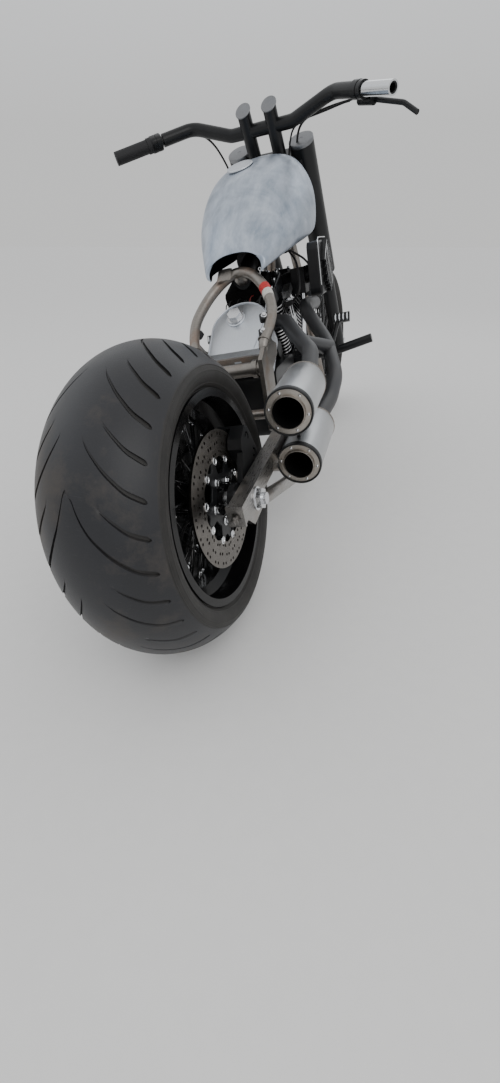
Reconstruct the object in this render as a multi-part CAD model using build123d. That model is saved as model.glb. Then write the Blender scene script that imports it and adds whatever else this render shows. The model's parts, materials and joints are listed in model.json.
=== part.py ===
from build123d import *
import os
from math import sin, cos, tan, asin, radians, degrees, hypot

# Chopper motorcycle with a very wide rear tyre, a V-twin engine and two stacked open pipes.
# Millimetres and degrees. The pieces are laid out upright: X to the rider's right, Y forward, Z up,
# origin on the ground under the rear wheel. The fork is laid out straight and turned afterwards.
# At the end everything leans left onto the side stand.

lean_angle = 11.0
rake = 32.0
rest_steer = -9.0       # the parked fork is turned this far, to the right
seat_gap = 0.3          # between pieces that seat on each other across curved faces
running_fit = 0.05      # radial, round axles, stem and pins

# Rear and front wheel, one column each: tyre radius, tyre half width, tread edge radius and
# half width, rim lip radius and half width, bead seat radius, rim well radius and half width,
# hub radius, hub half width, flange radius, spokes
wheel_columns = ("tyre_r", "tyre_x", "edge_r", "edge_x", "lip_r", "rim_x", "bead_r", "well_r",
                 "well_x", "hub_r", "hub_x", "flange_r", "spokes")
rear = dict(zip(wheel_columns, (330.0, 127.5, 269.0, 124.0, 226.0, 118.0, 215.0, 197.0, 60.0, 34.0, 60.0, 52.0, 40)))
front = dict(zip(wheel_columns, (345.0, 60.0, 319.0, 56.0, 277.0, 50.0, 266.0, 256.0, 18.0, 24.0, 34.0, 36.0, 40)))
rim_wall = 5.0
spoke_r = 2.3
spoke_sweep = 26.0      # degrees between a spoke's hub end and its rim end
axle_r = 12.5

disc_r = 146.0
disc_inner_r = 112.0
disc_thick = 5.0
disc_arms = 5
bobbin_r = 9.0
rear_disc_x = 113.5
front_disc_x = -62.0

belt_x = -142.5         # middle of the final drive belt
belt_width = 18.0
belt_thick = 6.0
rear_pulley_r = 140.0
front_pulley_r = 45.0

bar_inner_x = 158.0     # rear fork's box bars
bar_wide = 32.0
bar_tall = 40.0
bar_rear_y = -80.0
bar_rear_z = 335.0
pivot_y = 455.0
pivot_z = 368.0
pivot_r = 14.0
fork_tube_r = 16.0

frame_tube_r = 16.0
backbone_r = 25.0
rail_x = 105.0
rail_z = 170.0
upright_x = 100.0
upright_thick = 12.0

crank_y = 1000.0
crank_z = 360.0
cylinder_tilt = 22.5

leg_x = 118.0
legs_ahead = 261.0      # from the crank forward to the legs' tops
fork_reach = 464.0      # from the legs' tops forward to the front axle
leg_top_y = crank_y + legs_ahead
leg_top_z = 1069.0
wheelbase = leg_top_y + fork_reach
leg_offset = 35.0       # from the steering axis forward to the legs
stem_r = 17.0
upper_yoke_drop = 45.0  # from the legs' tops, along the legs
lower_yoke_drop = 235.0
yoke_thick = 34.0

lean_sin, lean_cos = sin(radians(lean_angle)), cos(radians(lean_angle))
rake_sin, rake_cos = sin(radians(rake)), cos(radians(rake))


def on_leg(drop, x=leg_x):
    """Point on a fork leg's axis, drop below its top."""
    return (x, leg_top_y + drop * rake_sin, leg_top_z - drop * rake_cos)


def on_stem(drop, ahead=0.0, x=0.0):
    """Point on the steering axis or ahead of it, level along it with the same drop on the legs."""
    level = on_leg(drop)
    back = leg_offset - ahead
    return (x, level[1] - back * rake_cos, level[2] - back * rake_sin)


def crown(w):
    """Radius of the arc across a tyre's tread."""
    rise = w["tyre_r"] - w["edge_r"]
    return (w["edge_x"] ** 2 + rise ** 2) / (2 * rise)


stem_place = Plane(origin=on_stem(0), x_dir=(1, 0, 0), z_dir=(0, -rake_sin, rake_cos)).location
fork_turn = stem_place * Rot(Z=rest_steer) * stem_place.inverse()
rear_axle = (0, 0, rear["tyre_r"])
ground_lift = crown(rear) * (1 - lean_cos)


def front_gap(axle_z):
    """Height of the turned and leaning front tyre above the ground, for one height of its axle."""
    hub = (fork_turn * Pos(0, wheelbase, axle_z)).position
    side = (fork_turn * Pos(1, wheelbase, axle_z)).position - hub
    tilt = side.X * lean_sin + side.Z * lean_cos
    reach = (front["tyre_r"] - crown(front)) * (1 - tilt ** 2) ** 0.5 + crown(front)
    return hub.X * lean_sin + hub.Z * lean_cos + ground_lift - reach


# The gap grows evenly with the axle's height, so two trials give the height that closes it
trial_low, trial_high = 300.0, 400.0
gap_low, gap_high = front_gap(trial_low), front_gap(trial_high)
front_axle_z = trial_low - gap_low * (trial_high - trial_low) / (gap_high - gap_low)
front_axle = (0, wheelbase, front_axle_z)

pieces = {}
FROM_BASE = (Align.CENTER, Align.CENTER, Align.MIN)


def rod(start, end, radius, end_radius=None):
    """Round bar or cone between two points."""
    start = Vector(*start)
    along = Vector(*end) - start
    if end_radius is None:
        solid = Cylinder(radius, along.length, align=FROM_BASE)
    else:
        solid = Cone(radius, end_radius, along.length, align=FROM_BASE)
    return Plane(origin=start, z_dir=along) * solid


def tube(points, radius, bend):
    """Round bar through points, with each corner bent to one radius."""
    path = FilletPolyline(*points, radius=bend)
    return sweep(Plane(origin=path @ 0, z_dir=path % 0) * Circle(radius), path=path)


def block(x, y, z):
    """Box from three pairs of limits."""
    size = (x[1] - x[0], y[1] - y[0], z[1] - z[0])
    return Pos((x[0] + x[1]) / 2, (y[0] + y[1]) / 2, (z[0] + z[1]) / 2) * Box(*size)


def side_plate(outline, x, thick):
    """Plate in a plane of constant X from (y, z) corners, thick towards +X."""
    face = make_face(Polyline(*[(x, y, z) for y, z in outline], close=True))
    return extrude(face, thick, dir=(1, 0, 0))


def x_bar(y, z, radius, x_from, x_to):
    return rod((x_from, y, z), (x_to, y, z), radius)


def both(piece):
    return piece + mirror(piece, about=Plane.YZ)


def turned(outline):
    """Ring or hub from an (x, radius) outline of lines, turned about the X axis."""
    face = make_face(Polyline(*[(x, 0, r) for x, r in outline], close=True))
    return revolve(face, Axis.X)


# Wheels

def tyre(w, centre):
    """Crowned tyre: one arc over the tread, one arc down each sidewall to the rim's lip."""
    bead_x = w["rim_x"] - rim_wall - seat_gap
    lip = w["lip_r"] + 1.5
    mid_r = (w["lip_r"] + w["edge_r"]) / 2
    outline = [
        Line((-bead_x, 0, w["bead_r"]), (bead_x, 0, w["bead_r"])),
        Line((bead_x, 0, w["bead_r"]), (bead_x, 0, lip)),
        ThreePointArc((bead_x, 0, lip), (w["tyre_x"], 0, mid_r), (w["edge_x"], 0, w["edge_r"])),
        ThreePointArc((w["edge_x"], 0, w["edge_r"]), (0, 0, w["tyre_r"]), (-w["edge_x"], 0, w["edge_r"])),
        ThreePointArc((-w["edge_x"], 0, w["edge_r"]), (-w["tyre_x"], 0, mid_r), (-bead_x, 0, lip)),
        Line((-bead_x, 0, lip), (-bead_x, 0, w["bead_r"])),
    ]
    return Pos(*centre) * revolve(make_face(outline), Axis.X)


def spoked_rim(w, centre, hub_right, hub_left):
    """Drop-centre rim, laced spokes and a flanged hub in one piece."""
    seat = w["bead_r"] - seat_gap
    half = [
        (w["rim_x"], w["lip_r"]), (w["rim_x"] - rim_wall, w["lip_r"]), (w["rim_x"] - rim_wall, seat),
        (w["well_x"] + 16, seat), (w["well_x"], w["well_r"]),
    ]
    inside = [
        (w["well_x"] - 3, w["well_r"] - rim_wall), (w["well_x"] + 13, seat - rim_wall),
        (w["rim_x"], seat - rim_wall),
    ]
    outline = half + [(-x, r) for x, r in reversed(half)] + [(-x, r) for x, r in reversed(inside)] + inside
    flange_thick = 8.0
    hub = x_bar(0, 0, w["hub_r"], hub_left, hub_right)
    hub += both(x_bar(0, 0, w["flange_r"], w["hub_x"] - flange_thick, w["hub_x"]))
    inner = w["flange_r"] - 6
    outer = w["well_r"] - 2
    spokes = []
    for i in range(w["spokes"]):
        side = 1 if i % 2 else -1
        turn = spoke_sweep if i % 4 < 2 else -spoke_sweep
        at_rim = radians(360 * (i + 0.5) / w["spokes"])
        at_hub = at_rim + radians(turn)
        spokes.append(rod(
            (side * (w["hub_x"] - flange_thick / 2), inner * cos(at_hub), inner * sin(at_hub)),
            (side * w["well_x"] * 0.35, outer * cos(at_rim), outer * sin(at_rim)),
            spoke_r,
        ))
    bore = x_bar(0, 0, axle_r + running_fit, hub_left - 1, hub_right + 1)
    return Pos(*centre) * (turned(outline) + hub + spokes - bore)


def brake_disc(centre, x, hub_r):
    """Floating disc: a ring with a scalloped inner edge on bobbins, and a five-armed carrier."""
    low, high = x - disc_thick / 2, x + disc_thick / 2
    ring = x_bar(0, 0, disc_r, low, high) - x_bar(0, 0, disc_inner_r, low - 1, high + 1)
    collar = hub_r + 22
    disc = ring + x_bar(0, 0, collar, low, high)
    for i in range(disc_arms):
        arm = Pos(x, 0, (disc_inner_r + collar) / 2) * Box(disc_thick, 24, disc_inner_r - collar + 6)
        disc += Rot(X=360 * (i + 0.5) / disc_arms) * arm
    for i in range(2 * disc_arms):
        at = radians(360 * (i + 0.5) / (2 * disc_arms))
        y, z = (disc_inner_r - 2) * cos(at), (disc_inner_r - 2) * sin(at)
        disc += x_bar(y, z, bobbin_r, low - 1.5, high + 1.5)
    return Pos(*centre) * (disc - x_bar(0, 0, hub_r + seat_gap, low - 1, high + 1))


def pulley(centre, radius, hub_r):
    """Toothed belt's rear pulley as a flanged rim on five spokes."""
    rim_low, rim_high = belt_x - belt_width / 2, belt_x + belt_width / 2
    wheel = x_bar(0, 0, radius, rim_low, rim_high) - x_bar(0, 0, radius - 14, rim_low - 1, rim_high + 1)
    wheel += x_bar(0, 0, hub_r + 20, belt_x - 6, belt_x + 6)
    for i in range(5):
        wheel += Rot(X=72 * i) * (Pos(belt_x, 0, (radius + hub_r) / 2) * Box(10, 28, radius - hub_r - 16))
    return Pos(*centre) * (wheel - x_bar(0, 0, hub_r + seat_gap, belt_x - 20, belt_x + 20))


rear_hub_right = 128.0
rear_hub_left = -152.0
front_hub_end = 72.0
pieces["rear_tyre"] = tyre(rear, rear_axle)
pieces["rear_rim"] = spoked_rim(rear, rear_axle, rear_hub_right, rear_hub_left)
pieces["rear_disc"] = brake_disc(rear_axle, rear_disc_x, rear["hub_r"])
pieces["rear_pulley"] = pulley(rear_axle, rear_pulley_r, rear["hub_r"])
pieces["front_tyre"] = tyre(front, front_axle)
pieces["front_rim"] = spoked_rim(front, front_axle, front_hub_end, -front_hub_end)
pieces["front_disc"] = brake_disc(front_axle, front_disc_x, front["hub_r"])

# Rear fork, axle and belt

bar_slope = (pivot_z - bar_rear_z) / (pivot_y - bar_rear_y)
bar_outer_x = bar_inner_x + bar_wide
bar_mid_x = bar_inner_x + bar_wide / 2
lower_cross_y = pivot_y - 3
lower_cross_z = pivot_z - 163


def bar_z(y):
    return bar_rear_z + bar_slope * (y - bar_rear_y)


def rear_fork_side():
    """One side: box bar with its end plate and chain adjuster, axle plate and the round lower tube."""
    half = bar_tall / 2
    corners = [(bar_rear_y, -half), (pivot_y, -half), (pivot_y, half), (bar_rear_y, half)]
    side = side_plate([(y, bar_z(y) + z) for y, z in corners], bar_inner_x, bar_wide)
    side += x_bar(pivot_y, pivot_z, bar_tall * 0.7, bar_inner_x, bar_outer_x)
    end_half = half + 2
    side += block((bar_inner_x - 2, bar_outer_x + 2), (bar_rear_y - 6, bar_rear_y), (bar_rear_z - end_half, bar_rear_z + end_half))
    adjuster_z = bar_rear_z - 4
    side += rod((bar_mid_x, bar_rear_y - 5, adjuster_z), (bar_mid_x, bar_rear_y - 26, adjuster_z), 5)
    side += Plane(origin=(bar_mid_x, bar_rear_y - 14, adjuster_z), z_dir=(0, -1, 0)) * extrude(RegularPolygon(9, 6), 6)
    axle_plate = side_plate([(-58, 318), (-10, 274), (84, 284), (84, 330), (-58, 330)], bar_mid_x - 6, 12)
    lower = tube(
        [(bar_mid_x, 40, 300), (bar_mid_x, 330, 217), (bar_mid_x, lower_cross_y, lower_cross_z)], fork_tube_r, 90)
    brace = rod((bar_mid_x, pivot_y + 4, pivot_z - 10), (bar_mid_x, lower_cross_y, lower_cross_z), fork_tube_r)
    return side + axle_plate + lower + brace


fork_frame = both(rear_fork_side()) + x_bar(lower_cross_y, lower_cross_z, fork_tube_r, -bar_mid_x, bar_mid_x)
fork_frame -= x_bar(0, rear["tyre_r"], axle_r + running_fit, -bar_outer_x - 1, bar_outer_x + 1)
fork_frame -= x_bar(pivot_y, pivot_z, pivot_r + running_fit, -bar_outer_x - 1, bar_outer_x + 1)
pieces["rear_fork"] = fork_frame

# Rear axle with a domed hexagon nut each side and the spacers between hub and bars
nut_r, nut_long = 23.0, 15.0
axle = x_bar(0, rear["tyre_r"], axle_r, -bar_outer_x - nut_long - 8, bar_outer_x + nut_long + 8)
for side in (-1, 1):
    nut_plane = Plane(origin=(side * (bar_outer_x + seat_gap), 0, rear["tyre_r"]), z_dir=(side, 0, 0))
    axle += nut_plane * (Cylinder(nut_r + 2, 3, align=FROM_BASE) + extrude(RegularPolygon(nut_r, 6), nut_long))
axle += x_bar(0, rear["tyre_r"], 20, rear_hub_right + seat_gap, bar_inner_x)
axle += x_bar(0, rear["tyre_r"], 20, -bar_inner_x, rear_hub_left - seat_gap)
pieces["rear_axle"] = axle

gear_y, gear_z = 705.0, 340.0


def belt_loop(extra):
    """Solid stadium with unequal ends that follows both pulleys, its radius grown by extra."""
    y0, z0, r0 = 0.0, rear["tyre_r"], rear_pulley_r + extra
    y1, z1, r1 = gear_y, gear_z, front_pulley_r + extra
    span = hypot(y1 - y0, z1 - z0)
    tilt = degrees(asin((z1 - z0) / span))
    from_axis = degrees(asin((r0 - r1) / span))
    up = radians(90 + tilt - from_axis)
    down = radians(-90 + tilt + from_axis)
    top = [(y0 + r0 * cos(up), z0 + r0 * sin(up)), (y1 + r1 * cos(up), z1 + r1 * sin(up))]
    low = [(y0 + r0 * cos(down), z0 + r0 * sin(down)), (y1 + r1 * cos(down), z1 + r1 * sin(down))]
    x = belt_x - belt_width / 2
    far = (y0 - r0 * cos(radians(tilt)), z0 - r0 * sin(radians(tilt)))
    near = (y1 + r1 * cos(radians(tilt)), z1 + r1 * sin(radians(tilt)))
    outline = [
        Line((x, *top[0]), (x, *top[1])),
        ThreePointArc((x, *top[1]), (x, *near), (x, *low[1])),
        Line((x, *low[1]), (x, *low[0])),
        ThreePointArc((x, *low[0]), (x, *far), (x, *top[0])),
    ]
    return extrude(make_face(outline), belt_width, dir=(1, 0, 0))


pieces["drive_belt"] = belt_loop(seat_gap + belt_thick) - belt_loop(seat_gap)

# Frame

hoop_r = 15.0
hoop_x = 105.0
hoop_low = (hoop_x, pivot_y + 43, pivot_z + 184)
hoop_shoulder = (hoop_x, pivot_y + 205, pivot_z + 294)
hoop_top = (58.0, pivot_y + 261, pivot_z + 333)

neck_r = 31.0
yoke_room = yoke_thick / 2 + 6
neck = rod(on_stem(upper_yoke_drop + yoke_room), on_stem(lower_yoke_drop - yoke_room), neck_r)
stem_bore = rod(on_stem(0), on_stem(300), stem_r + running_fit)
neck_mid = Vector(*on_stem((upper_yoke_drop + lower_yoke_drop) / 2))
hoop_middle = Vector(0, hoop_top[1], hoop_top[2])

# The fuel tank's tunnel lies along the backbone, which carries the tank on two ring pads
tunnel_r = 46.0
pad_wide = 26.0
pad_shares = (0.2, 0.72)     # of the way from the hoop to the neck
backbone_way = (neck_mid - hoop_middle).normalized()


def along_backbone(share):
    return hoop_middle + (neck_mid - hoop_middle) * share


backbone = rod(tuple(hoop_middle), tuple(neck_mid), backbone_r) + neck
for share in pad_shares:
    pad_from = along_backbone(share)
    backbone += rod(tuple(pad_from), tuple(pad_from + backbone_way * pad_wide), tunnel_r - seat_gap)
pieces["backbone"] = backbone - stem_bore

downtube_y = crank_y + 262
rail_end_y = pivot_y + 50
cradle = tube([
    on_stem(141, -52, 24), (62, downtube_y, 640), (rail_x, downtube_y, rail_z + 80),
    (rail_x, downtube_y - 57, rail_z), (rail_x, rail_end_y, rail_z),
], frame_tube_r, 55) - pieces["backbone"] - neck
pieces["cradle_right"] = cradle
pieces["cradle_left"] = mirror(cradle, about=Plane.YZ)

# Plate that ties the rear fork's pivot, the rails and the hoop together, as (y, z) from the pivot
upright_outline = [
    (23, 177), (67, 207), (105, 177), (139, 164), (135, 137), (70, 112), (65, 52), (65, -68), (77, -218),
    (37, -218), (30, -68), (-30, -38), (-30, 32), (-23, 152),
]
cross_tube_y, cross_tube_z = pivot_y - 3, pivot_z + 127
cross_tube_r = 19.0
shelf_y, shelf_z = cross_tube_y + 40, cross_tube_z + 22
oil_half = 92.0
mount_y, mount_z, mount_r = cross_tube_y + 125, cross_tube_z + 25, 9.0
upright = side_plate([(pivot_y + y, pivot_z + z) for y, z in upright_outline], upright_x, upright_thick)
uprights = both(upright)
uprights += x_bar(cross_tube_y, cross_tube_z, cross_tube_r, -upright_x, upright_x)
uprights += both(x_bar(cross_tube_y, cross_tube_z, cross_tube_r + 5, upright_x - 22, upright_x - 8))
uprights += both(x_bar(mount_y, mount_z, mount_r, oil_half + seat_gap, upright_x))
shelf = block((-upright_x, upright_x), (shelf_y, shelf_y + 20), (shelf_z, shelf_z + 5))
shelf += block((-upright_x, upright_x), (shelf_y, shelf_y + 5), (shelf_z - 17, shelf_z))
for slot_x in (-62.0, 20.0):
    shelf -= Pos(slot_x, shelf_y, shelf_z - 7) * Box(22, 20, 5)
pivot_rod = x_bar(pivot_y, pivot_z, pivot_r, -bar_outer_x - 2, bar_outer_x + 2)
pieces["rear_uprights"] = uprights + shelf - cradle - mirror(cradle, about=Plane.YZ) + pivot_rod

# Bent hoop over the oil tank, with a small seat bracket left of its top
hoop_half = [hoop_low, hoop_shoulder, hoop_top]
hoop = tube(hoop_half + [(-x, y, z) for x, y, z in reversed(hoop_half)], hoop_r, 34)
bracket = Pos(-32, hoop_top[1] - 14, hoop_top[2] + 12) * Rot(X=-20) * Box(44, 5, 34)
pieces["seat_hoop"] = hoop + bracket - pieces["rear_uprights"] - pieces["backbone"]

# Oil tank behind the engine: an arch on a plane that leans back, with its rim rolled

face_slope = 37.5
oil_straight = 96.0
oil_depth = 105.0
slope_sin, slope_cos = sin(radians(face_slope)), cos(radians(face_slope))
oil_plane = Plane(origin=(0, shelf_y + 48, shelf_z + 16), x_dir=(1, 0, 0), z_dir=(0, -slope_sin, slope_cos))


def arch(half, straight):
    outline = [
        Line((-half, 0), (half, 0)), Line((half, 0), (half, straight)),
        ThreePointArc((half, straight), (0, straight + half), (-half, straight)),
        Line((-half, straight), (-half, 0)),
    ]
    return make_face(outline)


oil = extrude(oil_plane * arch(oil_half, oil_straight), -oil_depth)
oil = fillet(oil.faces().sort_by(Axis.Z)[-1].edges(), 7)
pieces["oil_tank"] = oil
cap_at = oil_plane * Pos(-14, oil_straight + 30, seat_gap)
pieces["oil_cap"] = cap_at * (Cylinder(25, 7, align=FROM_BASE) + extrude(Pos(0, 0, 7) * RegularPolygon(21.5, 6), 15))

# Fuel tank: rows of share along the backbone, half width, bottom and top above the backbone's axis
fuel_rows = [
    (-0.07, 94, 43, 115),
    (0.11, 138, 27, 180),
    (0.31, 172, 10, 203),
    (0.55, 181, -16, 204),
    (0.74, 174, -42, 182),
    (0.88, 140, -36, 132),
]
widest_share = 0.32     # of a section's height, from the bottom
bottom_share, top_share, corner_share = 0.76, 0.6, 0.26    # of its half width


def fuel_section(share, half, low, high):
    """Six-sided outline, widest a third of the way up, with rounded corners."""
    axis = along_backbone(share)
    widest = low + widest_share * (high - low)
    corners = [
        (-bottom_share * half, low), (bottom_share * half, low), (half, widest),
        (top_share * half, high), (-top_share * half, high), (-half, widest),
    ]
    face = make_face(Polyline(*[(x, axis.Z + z) for x, z in corners], close=True))
    face = fillet(face.vertices(), corner_share * half)
    return Plane(origin=(0, axis.Y, 0), x_dir=(1, 0, 0), z_dir=(0, -1, 0)) * face


tunnel_from, tunnel_to = along_backbone(-0.4), along_backbone(1.1)
fuel = loft([fuel_section(*row) for row in fuel_rows])
fuel -= rod(tuple(tunnel_from), tuple(tunnel_to), tunnel_r)
below = 300
fuel -= side_plate([
    (tunnel_from.Y, tunnel_from.Z), (tunnel_to.Y, tunnel_to.Z), (tunnel_to.Y, tunnel_to.Z - below),
    (tunnel_from.Y, tunnel_from.Z - below),
], -tunnel_r, 2 * tunnel_r)
front_room = 80.0       # behind the steering axis, so that the turned yokes and legs clear the tank
front_plane = Plane(origin=on_stem(0, -front_room), x_dir=(1, 0, 0), z_dir=(0, rake_cos, rake_sin))
fuel -= extrude(front_plane * Rectangle(4 * tunnel_r + 600, 4 * leg_top_z), 600)
pieces["fuel_tank"] = fuel
cap_share, cap_x, cap_r = 0.42, -25.0, 42.0
cap_height = fuel_rows[2][3]
cap_proud = 6.0
cap_root = 30.0         # of its height that the tank's skin is cut from
cap_slope = degrees(asin(backbone_way.Z))
cap_place = Pos(*(along_backbone(cap_share) + Vector(cap_x, 0, cap_height))) * Rot(X=cap_slope)
fuel_cap = cap_place * Pos(0, 0, -cap_root) * Cylinder(cap_r, cap_root + cap_proud, align=FROM_BASE)
pieces["fuel_cap"] = fillet(fuel_cap.edges().sort_by(Axis.Z)[-1], 3) - fuel

# Engine

def cylinder_place(tilt):
    return Pos(0, crank_y, crank_z) * Rot(X=tilt)


case_r, case_left, case_right = 122.0, -92.0, 78.0
deck = 118.0
case = x_bar(crank_y, crank_z, case_r, case_left, case_right)
for tilt in (cylinder_tilt, -cylinder_tilt):
    case += cylinder_place(tilt) * block((-62, 62), (-60, 60), (0, deck))
case += block((case_left + 4, case_right - 4), (crank_y - 110, crank_y + 120), (crank_z - case_r, crank_z - 60))
filter_r = 36.0
filter_body = rod((-30, crank_y + 100, crank_z - 20), (-30, crank_y + 205, crank_z - 20), filter_r)
case += fillet(filter_body.edges().sort_by(Axis.Y)[-1], 8)
pieces["crankcase"] = case

barrel_r = 58.0
fin_count = 11
fin_pitch = 12.0
fin_thick = 4.0
fin_half = 76.0
head_low = deck + fin_count * fin_pitch + 2
head_tall = 52.0
head_half = 64.0
head_fin_x, head_fin_y = 82.0, 75.0


def finned_cylinder(tilt):
    body = Pos(0, 0, deck) * Cylinder(barrel_r, head_low - deck, align=FROM_BASE)
    for i in range(fin_count):
        fin = Pos(0, 0, deck + 8 + i * fin_pitch) * RectangleRounded(2 * fin_half, 2 * fin_half, 34)
        body += extrude(fin, fin_thick)
    return cylinder_place(tilt) * body


def head(tilt):
    """Finned head with its rocker box and the boss that the pushrod tubes run up to."""
    body = extrude(Pos(0, 0, head_low) * RectangleRounded(2 * head_half, 2 * head_half, 26), head_tall)
    for i in range(4):
        fin = Pos(0, 0, head_low + 3 + i * fin_pitch) * RectangleRounded(2 * head_fin_x, 2 * head_fin_y, 26)
        body += extrude(fin, fin_thick)
    rocker = extrude(Pos(0, 0, head_low + head_tall) * RectangleRounded(142, 126, 22), 46)
    rocker = fillet(rocker.edges().group_by(Axis.Z)[-1], 8)
    rocker += block((50, 106), (-26, 26), (head_low + head_tall - 8, head_low + head_tall + 14))
    return cylinder_place(tilt) * (body + rocker)


def port(tilt, out):
    """Point on the line of a head's two ports; out is measured from the cylinder's axis."""
    return tuple((cylinder_place(tilt) * Pos(20, out, head_low + head_tall / 2)).position)


# The two barrels share the plane between them, where each is cut
engine_reach = 400
ahead_half = block((-300, 300), (crank_y, crank_y + engine_reach), (0, crank_z + 2 * engine_reach))
behind_half = block((-300, 300), (crank_y - engine_reach, crank_y), (0, crank_z + 2 * engine_reach))
pieces["cylinder_rear"] = (finned_cylinder(cylinder_tilt) & behind_half) - case
pieces["cylinder_front"] = (finned_cylinder(-cylinder_tilt) & ahead_half) - case
pieces["head_rear"] = head(cylinder_tilt)
pieces["head_front"] = head(-cylinder_tilt)

cam_low = (case_right, crank_y + 105, crank_z - 20)
cam_high = (case_right, crank_y + 60, crank_z + 96)
cam_low_left = (case_right, crank_y - 105, crank_z - 20)
cam_high_left = (case_right, crank_y - 60, crank_z + 96)
cam = extrude(make_face([
    ThreePointArc(cam_low, (case_right, crank_y, crank_z - 105), cam_low_left), Line(cam_low_left, cam_high_left),
    Line(cam_high_left, cam_high), Line(cam_high, cam_low),
]), 34, dir=(1, 0, 0))
cam = fillet(cam.edges().group_by(Axis.X)[-1], 7)
pieces["cam_cover"] = cam + x_bar(crank_y + 20, crank_z - 10, 46, case_right + 34, case_right + 44)

# Each cylinder's two pushrod tubes stand between a tappet block on the cam cover and a boss on the head
pushrod_x = 95.0
pushrod_half = 13.0
pushrod_r = 7.0
tappet_top = 116.0
pushrod_set = []
for tilt in (cylinder_tilt, -cylinder_tilt):
    place = cylinder_place(tilt)
    tappet = place * block((80, 108), (-26, 26), (86, tappet_top)) - cam - case
    tubes = [
        place * rod((pushrod_x, y, tappet_top), (pushrod_x, y, head_low + head_tall - 8), pushrod_r)
        for y in (-pushrod_half, pushrod_half)
    ]
    pushrod_set += [tappet + tubes]
pieces["pushrod_tubes"] = Part() + pushrod_set

# Carburettor between the cylinders and the finned air cleaner outside it
carb_y, carb_z = crank_y - 12, crank_z + 320
air_x = (168.0, 208.0)
air_half_y, air_low, air_high = 87.0, -70.0, 84.0
carb = rod((40, crank_y, carb_z - 20), (air_x[0] + 6, carb_y, carb_z), 27)
carb += Pos(118, carb_y - 4, carb_z - 18) * Box(46, 60, 78)
for tilt, out in ((cylinder_tilt, head_half), (-cylinder_tilt, -head_half)):
    carb += rod((40, crank_y, carb_z - 20), port(tilt, out), 20)
for name in ("head_rear", "head_front", "cylinder_rear", "cylinder_front"):
    carb -= pieces[name]
pieces["carburettor"] = carb
air = block(air_x, (carb_y - air_half_y, carb_y + air_half_y), (carb_z + air_low, carb_z + air_high))
air = fillet(air.edges().filter_by(Axis.X), 24)
air = fillet(air.faces().sort_by(Axis.X)[-1].edges(), 9)
air_fins = Part()
for i in range(7):
    fin = Pos(air_x[1] + 5, carb_y, carb_z + 7) * Rot(X=38) * Pos(0, 0, (i - 3) * 20) * Box(16, 130 - 14 * abs(i - 3), 5)
    air_fins += fin
pieces["air_cleaner"] = air + air_fins - carb

# Gearbox behind the engine and primary drive on the left
gear_reach = (83.0, 112.0)     # behind and above the gearbox shaft
gearbox = block((case_left + 2, case_right + 10), (gear_y - gear_reach[0], crank_y - 128),
                (gear_z - 102, gear_z + gear_reach[1]))
gearbox = fillet(gearbox.edges().filter_by(Axis.X), 26)
gearbox += x_bar(gear_y, gear_z, 16, belt_x, case_left + 4)
gearbox += x_bar(gear_y, gear_z, front_pulley_r, belt_x - belt_width / 2, belt_x + belt_width / 2)
end_cover = x_bar(gear_y + 20, gear_z, 64, case_right + 9, case_right + 26)
gearbox += fillet(end_cover.edges().sort_by(Axis.X)[-1], 6)
starter_r = 36.0
starter_y, starter_z = crank_y - 192, gear_z + gear_reach[1] + starter_r - 9
gearbox += x_bar(starter_y, starter_z, starter_r, -84, 30) + x_bar(starter_y, starter_z, starter_r - 9, 30, 62)
pieces["gearbox"] = gearbox - case

primary_in = belt_x - belt_width / 2 - 4.5
primary_thick = 58.0
primary_rear_r, primary_front_r = 104.0, 96.0
primary_face = make_face([
    Line((primary_in, gear_y, gear_z + primary_rear_r), (primary_in, crank_y + 10, crank_z + primary_front_r)),
    ThreePointArc((primary_in, crank_y + 10, crank_z + primary_front_r),
                  (primary_in, crank_y + 10 + primary_front_r, crank_z),
                  (primary_in, crank_y + 10, crank_z - primary_front_r)),
    Line((primary_in, crank_y + 10, crank_z - primary_front_r), (primary_in, gear_y, gear_z - primary_rear_r)),
    ThreePointArc((primary_in, gear_y, gear_z - primary_rear_r), (primary_in, gear_y - primary_rear_r, gear_z),
                  (primary_in, gear_y, gear_z + primary_rear_r)),
])
primary = extrude(primary_face, primary_thick, dir=(-1, 0, 0))
primary = fillet(primary.edges().group_by(Axis.X)[0], 14)
primary += x_bar(crank_y, crank_z, 84, primary_in, case_left)
primary_face_x = primary_in - primary_thick
for y, z, radius in ((gear_y, gear_z, 68), (crank_y + 10, crank_z, 50)):
    primary += x_bar(y, z, radius, primary_face_x - 7, primary_face_x)
    primary -= x_bar(y, z, radius - 9, primary_face_x - 8, primary_face_x - 4)
pieces["primary_cover"] = primary - case

# Exhaust: each pipe runs from its head to a short can with an open, ringed tip

can_r = 49.0
pipe_r = 22.0
tip_bore = 30.0
tip_depth = 110.0
port_out = 115.0


def from_crank(x, y, z):
    return (x, crank_y + y, crank_z + z)


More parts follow.
